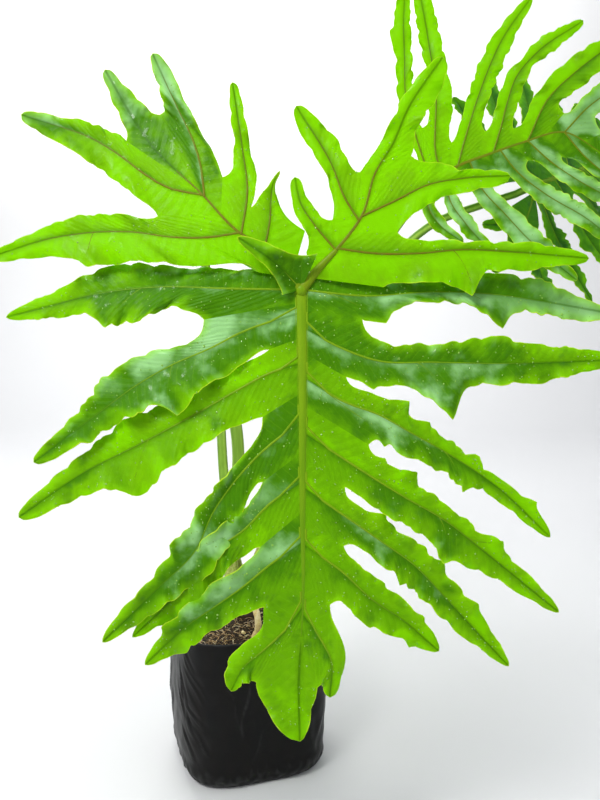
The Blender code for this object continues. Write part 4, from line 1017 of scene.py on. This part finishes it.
def makeBlade(name, leaf, frameMatrix, arrival, skins, node):
    # the whole blade: sheets with their thickness, ribs, the knuckle they meet in and the petiole's collar
    parts, wet = [], []
    ribs = bmesh.new()
    for order, shaft in enumerate(leaf["ribs"]):
        sheet, spineLine, lines, spots = bladeSheet(leaf, shaft, 11 * order + len(node))
        wet += spots
        parts.append(makeObject(f"{name}Sheet{order}", sheet, skins))
        ribTubes(ribs, shaft, spineLine, lines)
    away = frameMatrix.to_3x3().inverted() @ arrival
    tubePatch(ribs, [tuple(-away * d) for d in knuckle["collarAt"]], knuckle["collarRadii"], sides=16)
    ball = bmesh.ops.create_uvsphere(ribs, u_segments=20, v_segments=12, radius=1.0)["verts"]
    bmesh.ops.scale(ribs, vec=knuckle["size"], verts=ball)
    smoothFaces(facesOf(ball))
    closeTubes(ribs)
    for face in ribs.faces:
        face.material_index = 2
    for part in parts:
        solid = part.modifiers.new("thickness", "SOLIDIFY")
        solid.thickness = leafMesh["thickness"]
        solid.offset = 0.0
        solid.material_offset = 1
        applyModifiers(part)
    parts.append(makeObject(name + "Ribs", ribs, skins))
    made = joined(name, parts)
    made.data.transform(frameMatrix @ toMetres)
    made.data.set_sharp_from_angle(angle=math.radians(55))
    finishPiece(made, node)
    if wet:
        makeDrops(name + "Drops", wet, frameMatrix)


def joined(name, parts):
    # one object from several, all with the same materials
    merged = bmesh.new()
    materials = list(parts[0].data.materials)
    for part in parts:
        mesh = part.data
        merged.from_mesh(mesh)
        bpy.data.objects.remove(part)
        bpy.data.meshes.remove(mesh)
    return makeObject(name, merged, materials)


# Where each leaf goes


def frameFrom(joint, across, up):
    x = Vector(across).normalized()
    z = x.cross(Vector(up)).normalized()
    y = z.cross(x)
    return Matrix.Translation(joint) @ Matrix((x, y, z)).transposed().to_4x4()


leaned = (0.0, math.sin(math.radians(9)), math.cos(math.radians(9)))
leafPlaces = (
    dict(
        name="front", node="front", pattern=frontLeaf, joint=(0.065, -0.254, 0.557), across=(1, 0, 0),
        up=leaned, arrival=(0.02, -0.93, 0.36), foot=(0.013, -0.014, 0.214), way=(0.22, -0.45, 0.86),
        through=((0.036, -0.066, 0.335), (0.054, -0.135, 0.460)),
    ),
    dict(
        name="right", node="right", pattern=rightLeaf, joint=(0.209, 0.008, 0.669), across=(1, 0, 0),
        up=leaned, arrival=(0.50, -0.58, 0.64), foot=(0.020, 0.002, 0.222), way=(0.30, 0.05, 0.95),
        through=((0.058, 0.012, 0.375), (0.118, 0.030, 0.520), (0.168, 0.040, 0.612)),
    ),
    dict(
        name="backRight", node="back_right", pattern=partial(plainLeaf, 330, 5, 5),
        joint=(0.360, 0.135, 0.680), across=(-0.42, 0.16, 0.9), up=(-0.86, -0.42, 0.0),
        arrival=(0.90, -0.12, 0.42), foot=(0.012, 0.016, 0.221), way=(0.28, 0.32, 0.90),
        through=((0.072, 0.078, 0.400), (0.138, 0.098, 0.535), (0.232, 0.116, 0.632),
                 (0.290, 0.135, 0.654)),
    ),
    dict(
        name="backLeft", node="back_left", pattern=partial(plainLeaf, 290, 5, 8),
        joint=(-0.064, 0.078, 0.616), across=(-0.30, -0.95, -0.045), up=(0.95, -0.30, -0.07),
        arrival=(-0.48, 0.42, 0.77), foot=(-0.016, -0.004, 0.218), way=(-0.05, 0.04, 0.99), swell=0.28,
        through=((-0.008, 0.012, 0.364), (-0.028, 0.026, 0.480)),
    ),
    dict(
        name="back", node="back", pattern=partial(plainLeaf, 300, 5, 14),
        joint=(0.0, 0.200, 0.543), across=(-0.93, 0.35, -0.008), up=(-0.35, -0.93, -0.01),
        arrival=(0.20, 0.78, 0.60), foot=(-0.012, 0.016, 0.216), way=(-0.18, 0.25, 0.95),
        through=((-0.030, 0.050, 0.346), (-0.032, 0.088, 0.448)),
    ),
)
# radii in mm, the rest in metres: the stub and the collar that the petiole's ends sit on, and how far it
# runs straight on from them
stalk = {
    "footRadius": 6.6, "topRadius": 4.8, "stub": 0.029, "collar": 0.013, "stubRun": 0.016,
    "collarRun": 0.014, "spans": 90, "sides": 24, "bands": 0.62,
}


def makePetiole(place, material):
    # a tapered round stalk, with dark lengthwise lines of painted shade standing for shallow ribs
    arrival, way = (Vector(place[key]).normalized() for key in ("arrival", "way"))
    start = Vector(place["foot"]) + way * stalk["stub"]
    end = Vector(place["joint"]) - arrival * stalk["collar"]
    first, last = start + way * stalk["stubRun"], end - arrival * stalk["collarRun"]
    points = [tuple(p / mm) for p in (first, *map(Vector, place["through"]), last)]
    inner = spline(points, np.linspace(0, 1, stalk["spans"]))
    path = np.vstack([tuple(start / mm), inner, tuple(end / mm)])
    along = np.linspace(0, 1, len(path))
    radii = stalk["footRadius"] + (stalk["topRadius"] - stalk["footRadius"]) * along**0.7
    radii *= 1 + place.get("swell", 0.0) * np.sin(np.pi * along)
    bm = bmesh.new()
    tubePatch(bm, path, radii, sides=stalk["sides"], bands=stalk["bands"])
    closeTubes(bm)
    made = makeObject(place["name"] + "Petiole", bm, [material], toMetres)
    made.data.set_sharp_from_angle(angle=math.radians(50))
    finishPiece(made, place["node"] + "_petiole")


for place in leafPlaces:
    # the back right leaf takes the darker copy, painted shade
    dark = place["name"] == "backRight"
    makeBlade(
        place["name"] + "Blade", place["pattern"](), frameFrom(place["joint"], place["across"], place["up"]),
        Vector(place["arrival"]).normalized(), [upperShade if dark else upperSkin, lowerSkin, veinSkin],
        place["node"] + "_blade",
    )
    makePetiole(place, stalkMaterial)
    print("leaf done:", place["name"])


# Grow bag, soil, stem and root

# black polythene film: a dull, slightly brown black with painted soft grey light along its creases
growBag = {
    "half": 89.0, "bottomHalf": 67.64, "turn": 17.0, "squareness": 3.4, "film": 0.35, "inset": 0.8,
    "around": 260, "rows": 110,
    "profile": (
        (176, 0.955), (150, 0.975), (110, 1.0), (60, 0.99), (30, 0.968), (14, 0.945), (5, 0.90), (0, 0.85),
    ),
    # creases: fine ones side by side on the left, and longer soft ones all round. Angles in degrees
    "pleats": 15, "pleatFrom": (228, 154), "pleatStep": (0.6, -7.6), "pleatReach": (15, 30),
    "pleatDepth": (0.7, 1.5), "pleatLean": (20, 42), "pleatWidth": 1.2,
    "folds": 26, "foldTurns": (262, 306), "foldHeight": (45, 135), "foldReach": (26, 46),
    "foldDepth": (0.8, 1.7), "foldLean": (-40, 40), "foldWidth": 2.6,
    # heights of the gathers over the base and of the uneven rim, and how far they reach
    "gathers": (12.0, 14.0), "gatherDepth": 1.7, "corner": 2.4, "rim": (166.0, 10.0), "rimDepth": 1.6,
    "swell": 2.2, "dent": 0.8,
    "color": "0c0f10", "crestLight": "444444", "brown": "171412",
}
# coir fibres and crumbs of peat and bark. Tones run from 0, dark, to 1, pale
soilMix = {
    "top": 163.0, "rise": 14.0, "floor": 4.5, "inset": 3.4,
    "lumps": 2100, "lumpSize": (0.5, 1.2), "lumpTones": (0.05, 0.15, 0.3, 0.35, 0.55, 0.75),
    "fibres": 780, "fibreLong": (3.5, 11), "fibreRise": (0.2, 1.7), "fibreTones": (0.5, 0.6, 0.7, 0.75, 0.9),
    "fibreRadii": (0.26, 0.3, 0.3, 0.28, 0.24, 0.16),
    "dark": "1e1711", "mid": "58452e", "coir": "bd9a68", "pale": "e2d2b0",
}
# the stubs of the leaves and the dry wings of their sheaths: distances along each leaf's way, and radii
stemPlan = {
    "radius": 17.0, "foot": 101.0, "top": 226.0, "crown": 229.0, "ringStep": 7.0,
    "stubAt": (-16, -8, 0, 8, 16, 24, 29.6), "stubRadii": (7.4, 8.6, 8.9, 8.4, 7.7, 7.1, 6.75),
    "wingSpan": (-8, 20), "wingAside": 6.2, "wingRadii": (0.6, 1.4, 1.9, 2.1, 2.0, 1.7, 1.3, 0.9, 0.3),
    "skin": "9aa84a", "pale": "d2d884", "scar": "7a6a3c", "bark": "3a2c1c", "barkAt": (0.205, 0.232),
}
# the aerial root, and a dry grey stub of an older one beside it
rootPlan = {
    "radius": 3.4, "swelling": 0.5,
    "path": ((-1, -16.3, 197), (3, -29, 203), (12, -43, 199), (16.5, -50, 186), (16, -52, 173),
             (11, -53, 163), (8, -53, 149)),
    "stubPath": ((3, -46, 158), (2, -48, 166), (-1, -50, 171)), "stubRadii": (2.6, 1.7),
    "skin": "e6cc8c", "dark": "b08c50", "pale": "f6e6b8",
}
bagTurn = math.radians(growBag["turn"])
bagPlace = Matrix.Rotation(bagTurn, 4, "Z") @ toMetres


def ripple(x, y, z, scale):
    return noise.noise(Vector((x, y, z)) * scale)


def squareShare(angle):
    powers = [abs(f(angle)) ** growBag["squareness"] for f in (math.cos, math.sin)]
    return sum(powers) ** (-1.0 / growBag["squareness"])


def bagHalf(height):
    heights, shares = zip(*reversed(growBag["profile"]))
    return growBag["half"] * float(np.interp(height, heights, shares))


def turnedProfile(profile, steps):
    # a profile in radius and height spun round the Z axis, closed where it meets the axis
    bm = bmesh.new()
    verts = [bm.verts.new((radius, 0.0, height)) for radius, height in profile]
    edges = [bm.edges.new(pair) for pair in zip(verts, verts[1:])]
    bmesh.ops.spin(bm, geom=verts + edges, cent=(0, 0, 0), axis=(0, 0, 1), dvec=(0, 0, 0),
                   angle=2 * math.pi, steps=steps, use_merge=True, use_duplicate=False)
    bmesh.ops.remove_doubles(bm, verts=bm.verts, dist=1e-4)
    bmesh.ops.recalc_face_normals(bm, faces=bm.faces)
    smoothFaces(bm.faces)
    return bm


def smoothProfile(rows):
    # the bag's side profile with rows points, rounded at the foot
    coarse = [(growBag["half"] * share, height) for height, share in growBag["profile"]]
    return [tuple(p) for p in spline(coarse, np.linspace(0, 1, rows))]


def creaseList():
    # (angle in degrees round from +X, height, half length, lean in degrees, depth, width), lengths in mm
    draw = random.Random(17)
    made = []

    def drawn(key):
        return draw.uniform(*growBag[key])

    (first, top), (turn, drop) = growBag["pleatFrom"], growBag["pleatStep"]
    for order in range(growBag["pleats"]):
        angle = first + turn * order + draw.uniform(-9, 9)
        height = top + drop * order + draw.uniform(-3, 3)
        reach, depth = drawn("pleatReach"), drawn("pleatDepth")
        made.append((angle, height, reach, drawn("pleatLean"), depth, growBag["pleatWidth"]))
    first, span = growBag["foldTurns"]
    for order in range(growBag["folds"]):
        angle = first + span * order / growBag["folds"] + draw.uniform(-5, 5)
        reach, depth = drawn("foldReach"), drawn("foldDepth")
        made.append((angle, drawn("foldHeight"), reach, drawn("foldLean"), depth, growBag["foldWidth"]))
    return made


def creaseDepth(creases, angle, height):
    total = 0.0
    for degrees, middle, reach, lean, depth, width in creases:
        turn = (angle - math.radians(degrees) + math.pi) % (2 * math.pi) - math.pi
        x, y = turn * growBag["half"], height - middle
        c, s = math.cos(math.radians(lean)), math.sin(math.radians(lean))
        along, aside = y * c - x * s, x * c + y * s
        if abs(along) < reach and abs(aside) < 16:
            fade = math.cos(math.pi / 2 * along / reach) ** 0.8
            aside += 1.6 * math.sin(along / 9.0 + degrees)
            ridge = math.exp(-abs(aside) / width) - 0.75 * math.exp(-((aside / width - 2.3) / 1.9) ** 2)
            total += depth * fade * ridge
    return total


def makeGrowBag(material):
    bottom = [(growBag["bottomHalf"] * s, 0.0) for s in np.linspace(1, 0, 12)]
    bm = turnedProfile(smoothProfile(growBag["rows"]) + bottom, growBag["around"])
    creases = creaseList()
    (low, lowReach), (high, highReach) = growBag["gathers"], growBag["rim"]
    for vert in bm.verts:
        x, y, z = vert.co
        radius = math.hypot(x, y)
        if radius < 1e-3:
            continue
        angle = math.atan2(y, x)
        wall = min(1.0, z / low)
        gathered = math.exp(-((z - low) / lowReach) ** 2)
        rim = growBag["rimDepth"] * max(0.0, (z - high) / highReach)
        push = creaseDepth(creases, angle + bagTurn, z)
        push += growBag["swell"] * ripple(x, y, z * 0.6, 0.018) + growBag["dent"] * ripple(x, y, z, 0.06)
        push *= wall
        push += gathered * growBag["gatherDepth"] * ripple(x, y, z * 0.5, 0.20)
        push += gathered * growBag["corner"] * abs(math.sin(2 * angle)) ** 3
        push += rim * ripple(x, y, 0, 0.07)
        share = (radius * squareShare(angle) + push - growBag["inset"]) / radius
        vert.co = x * share, y * share, z - rim * (1 + ripple(x, y, 40, 0.035))
    made = makeObject("growBag", bm, [material], bagPlace)
    film = made.modifiers.new("film", "SOLIDIFY")
    film.thickness = growBag["film"] * mm
    film.offset = -1.0
    applyModifiers(made)
    finishPiece(made, "grow_bag")


def soilHeight(x, y):
    # the soil's top: higher at the stem, lumpy all over
    radius = math.hypot(x, y) / growBag["half"]
    height = soilMix["top"] + soilMix["rise"] * max(0.0, 1 - radius) ** 1.2 - 1.5
    return height + 2.0 * ripple(x, y, 3, 0.045) + 1.3 * ripple(x, y, 7, 0.16) + 0.6 * ripple(x, y, 9, 0.45)


def makeSoil(material):
    edge = bagHalf(soilMix["top"]) - soilMix["inset"]
    profile = [(edge * s, soilMix["top"]) for s in np.linspace(0, 1, 64)]
    profile += [(bagHalf(h) - soilMix["inset"], h) for h in (140, 110, 80, 50, 30, 16)]
    profile += [(bagHalf(6) * 0.93, soilMix["floor"]), (0.0, soilMix["floor"])]
    bm = turnedProfile(profile, 150)
    for vert in bm.verts:
        x, y, z = vert.co
        if math.hypot(x, y) > 0.01:
            grow = squareShare(math.atan2(y, x))
            x, y = x * grow, y * grow
        vert.co = x, y, soilHeight(x, y) if z > soilMix["top"] - 1 else z
    uvLayer(bm, "grain")
    parts = [makeObject("soilBody", bm, [material])]
    # lumps of peat and bark, and fibres of coir, strewn over it
    draw = random.Random(31)

    def strewn(spread):
        while True:
            angle, radius = draw.uniform(0, 2 * math.pi), edge * math.sqrt(draw.random()) * spread
            grow = squareShare(angle)
            x, y = radius * grow * math.cos(angle), radius * grow * math.sin(angle)
            if math.hypot(x, y) > stemPlan["radius"] + 1.5:
                return x, y

    def painted(bm, verts, value):
        layer = uvLayer(bm, "grain")
        for face in facesOf(verts):
            face.smooth = True
            for loop in face.loops:
                loop[layer].uv = (value, draw.random())

    def onSoil(x, y):
        radius = math.hypot(x, y)
        return stemPlan["radius"] < radius < edge * 0.98 * squareShare(math.atan2(y, x))

    # many short meshes are quicker to fill than a long one
    bm = bmesh.new()
    for order in range(soilMix["lumps"]):
        if order % 120 == 119:
            parts.append(makeObject("soilLumps", bm, [material]))
            bm = bmesh.new()
        x, y = strewn(0.97)
        size = draw.uniform(*soilMix["lumpSize"]) * (1.8 if order % 9 == 0 else 1.0)
        turn = draw.uniform(0, 6.28)
        spun = Matrix.Rotation(turn, 4, Vector((draw.random(), draw.random(), draw.random())))
        shape = Matrix.Diagonal((size, size * draw.uniform(0.5, 0.9), size * draw.uniform(0.35, 0.7), 1))
        place = Matrix.Translation((x, y, soilHeight(x, y) + size * 0.2)) @ spun @ shape
        lump = bmesh.ops.create_icosphere(bm, subdivisions=1, radius=1.0, matrix=place)["verts"]
        painted(bm, lump, draw.choice(soilMix["lumpTones"]) if draw.random() < 0.95 else 1.0)
    for order in range(soilMix["fibres"]):
        if order % 60 == 59:
            parts.append(makeObject("soilFibres", bm, [material]))
            bm = bmesh.new()
        x, y = strewn(0.95)
        heading, bend = draw.uniform(0, 6.28), draw.uniform(-0.6, 0.6)
        long, rise = draw.uniform(*soilMix["fibreLong"]), draw.uniform(*soilMix["fibreRise"])
        path = []
        for s in np.linspace(0, 1, len(soilMix["fibreRadii"])):
            a, height = heading + bend * s, rise * math.sin(math.pi * s) * 1.2
            place = x + long * s * math.cos(a), y + long * s * math.sin(a)
            path.append((*place, soilHeight(x, y) + 0.3 + height))
        if all(onSoil(*point[:2]) for point in path):
            fibre = tubePatch(bm, path, soilMix["fibreRadii"], sides=4, layer="grain")
            painted(bm, fibre, draw.choice(soilMix["fibreTones"]))
    parts.append(makeObject("soilFibres", bm, [material]))
    made = joined("pottingSoil", parts)
    made.data.transform(bagPlace)
    finishPiece(made, "soil")


def makeStem(material):
    # leaf scars ring the stem, and each petiole leaves it from a swollen sheath
    top, radius, crown = (stemPlan[key] for key in ("top", "radius", "crown"))
    rows = []
    for height in np.linspace(crown, stemPlan["foot"], 90):
        cap = min(1.0, (crown - height) / 14.0) ** 0.45
        scar = abs(math.sin(math.pi * (top - height) / stemPlan["ringStep"])) ** 0.5
        below = top - height
        rows.append(((radius - 2.2) * cap + 0.7 * scar * (below > 16) + 1.2 * (below > 50), height))
    bm = turnedProfile(rows + [(0.0, stemPlan["foot"])], 56)
    for vert in bm.verts:
        x, y, z = vert.co
        push = 1 + 0.035 * ripple(x, y, z, 0.11)
        vert.co = x * push, y * push, z
    for place in leafPlaces:
        way, foot = Vector(place["way"]).normalized(), Vector(place["foot"]) / mm
        smooth = np.linspace(0, 6, 20)
        at, radii = (np.interp(smooth, range(7), stemPlan[key]) for key in ("stubAt", "stubRadii"))
        tubePatch(bm, [tuple(foot + way * d) for d in at], radii, sides=20)
        # the thin dry edges of its sheath
        across = way.cross(Vector((0, 0, 1))).normalized() * stemPlan["wingAside"]
        steps = np.linspace(*stemPlan["wingSpan"], len(stemPlan["wingRadii"]))
        for turn in (-1, 1):
            wing = [tuple(foot + way * d + across * turn * (1 - abs(d - 6) / 40)) for d in steps]
            tubePatch(bm, wing, stemPlan["wingRadii"], sides=8, warmth=0.5)
    closeTubes(bm)
    finishPiece(makeObject("leafyStem", bm, [material], toMetres), "stem")


def makeRoot(material):
    share = np.linspace(0, 1, 80)
    radii = rootPlan["radius"] + rootPlan["swelling"] * np.sin(math.pi * share) - 0.3 * share
    radii += 0.16 * np.sin(share * 95) + 0.12 * np.sin(share * 41 + 1)
    bm = bmesh.new()
    tubePatch(bm, spline(rootPlan["path"], share), radii, sides=18)
    stub = spline(rootPlan["stubPath"], np.linspace(0, 1, 10))
    tubePatch(bm, stub, np.linspace(*rootPlan["stubRadii"], 10), sides=12, warmth=1.0)
    closeTubes(bm)
    for vert in bm.verts:
        vert.co += vert.normal * 0.25 * noise.noise(vert.co * 0.8)
    finishPiece(makeObject("aerialRoot", bm, [material], toMetres), "aerial_root")


def polytheneMaterial(settings):
    # low-density polythene film: near black, satin, with painted grey light on its crests, with fine stretch
    # streaks
    made, tree, add, shader = newMaterial("blackPolythene")
    place = add("TexCoord", out="Object")
    # streaks 12 mm wide, stretched along the film's creases, a fine grain for the bump, and painted light on
    # crests
    stretched = add("Mapping", {0: place, "Rotation": (0, 0.5, 0.4), "Scale": (80, 80, 26)})
    streak = add("TexNoise", {"Vector": stretched, "Scale": 1.0, "Detail": 4.0})
    fine = add("TexNoise", {"Vector": place, "Scale": 420.0, "Detail": 4.0})
    litCrests = add("MapRange", {0: add("NewGeometry", out="Pointiness"), 1: 0.505, 2: 0.56, 4: 0.55})
    color = hexColor(settings["color"])
    for share, key in ((streak, "brown"), (litCrests, "crestLight")):
        color = add("Mix", {0: share, 6: color, 7: hexColor(settings[key])}, 2, **inColor)
    rough = add("MapRange", {0: streak, 1: 0.3, 2: 0.7, 3: 0.32, 4: 0.50})
    height = add("Math", {0: fine, 1: streak}, operation="MULTIPLY")
    bump = add("Bump", {"Height": height, "Strength": 0.35, "Distance": 0.0008})
    feed(tree, shader, {
        "Base Color": color, "Roughness": rough, "Normal": bump, "IOR": 1.51, "Specular IOR Level": 0.11,
    })
    return made


def soilMaterial(settings):
    # peat and coir: dark crumbs, tan fibre and a few pale grains, dull all over
    made, tree, add, shader = newMaterial("peatAndCoir")
    value = add("SeparateXYZ", {0: add("UVMap", uv_map="grain")})
    speck = add("TexNoise", {"Vector": add("TexCoord", out="Object"), "Scale": 380.0, "Detail": 5.0})
    both = add("Math", {0: speck, 1: 0.9, 2: value}, operation="MULTIPLY_ADD")
    shifted = add("Math", {0: both, 1: 0.40}, operation="SUBTRACT", use_clamp=True)
    color = add("ValToRGB", {0: shifted})
    stops = ((0.0, "dark"), (1.0, "pale"), (0.3, "mid"), (0.7, "coir"))
    paintStops(color.node.color_ramp.elements, [(at, settings[key]) for at, key in stops])
    bump = add("Bump", {"Height": speck, "Strength": 0.7, "Distance": 0.0012})
    feed(tree, shader, {"Base Color": color, "Normal": bump, "Roughness": 0.92, "Specular IOR Level": 0.25})
    return made


def paintStops(elements, stops):
    # the first two stops are the ends
    for order, (position, code) in enumerate(stops):
        element = elements[order] if order < 2 else elements.new(position)
        element.position, element.color = position, hexColor(code)


def barkMaterial(name, stops, scale, roughness, old=None):
    # plant skin with lengthwise streaks and small corky specks. old: (colour, heights) of bark at the foot
    made, tree, add, shader = newMaterial(name)
    place = add("TexCoord", out="Object")
    long = add("Mapping", {0: place, "Scale": (1.0, 1.0, 0.25)})
    streak = add("TexNoise", {"Vector": long, "Scale": scale, "Detail": 4.0})
    speck = add("TexNoise", {"Vector": place, "Scale": scale * 4, "Detail": 3.0})
    both = add("Mix", {0: 0.4, 2: streak, 3: speck})
    color = add("ValToRGB", {0: add("MapRange", {0: both, 1: 0.3, 2: 0.7})})
    paintStops(color.node.color_ramp.elements, stops)
    if old:
        code, (low, high) = old
        ragged = add("Math", {0: speck, 1: 0.03, 2: add("SeparateXYZ", {0: place}, out=2)},
                     operation="MULTIPLY_ADD")
        share = add("MapRange", {0: ragged, 1: high, 2: low})
        color = add("Mix", {0: share, 6: color, 7: hexColor(code)}, 2, **inColor)
    bump = add("Bump", {"Height": both, "Strength": 0.4, "Distance": 0.0006})
    feed(tree, shader, {"Base Color": color, "Normal": bump, "Roughness": roughness, "IOR": 1.45})
    return made


makeGrowBag(polytheneMaterial(growBag))
makeSoil(soilMaterial(soilMix))
stemStops = ((0.0, stemPlan["scar"]), (1.0, stemPlan["pale"]), (0.45, stemPlan["skin"]))
makeStem(barkMaterial("sheathedStem", stemStops, 130.0, 0.55, (stemPlan["bark"], stemPlan["barkAt"])))
rootStops = ((0.0, rootPlan["dark"]), (1.0, rootPlan["pale"]), (0.4, rootPlan["skin"]))
makeRoot(barkMaterial("rootCork", rootStops, 240.0, 0.75))
print("bag, soil, stem and root ready")
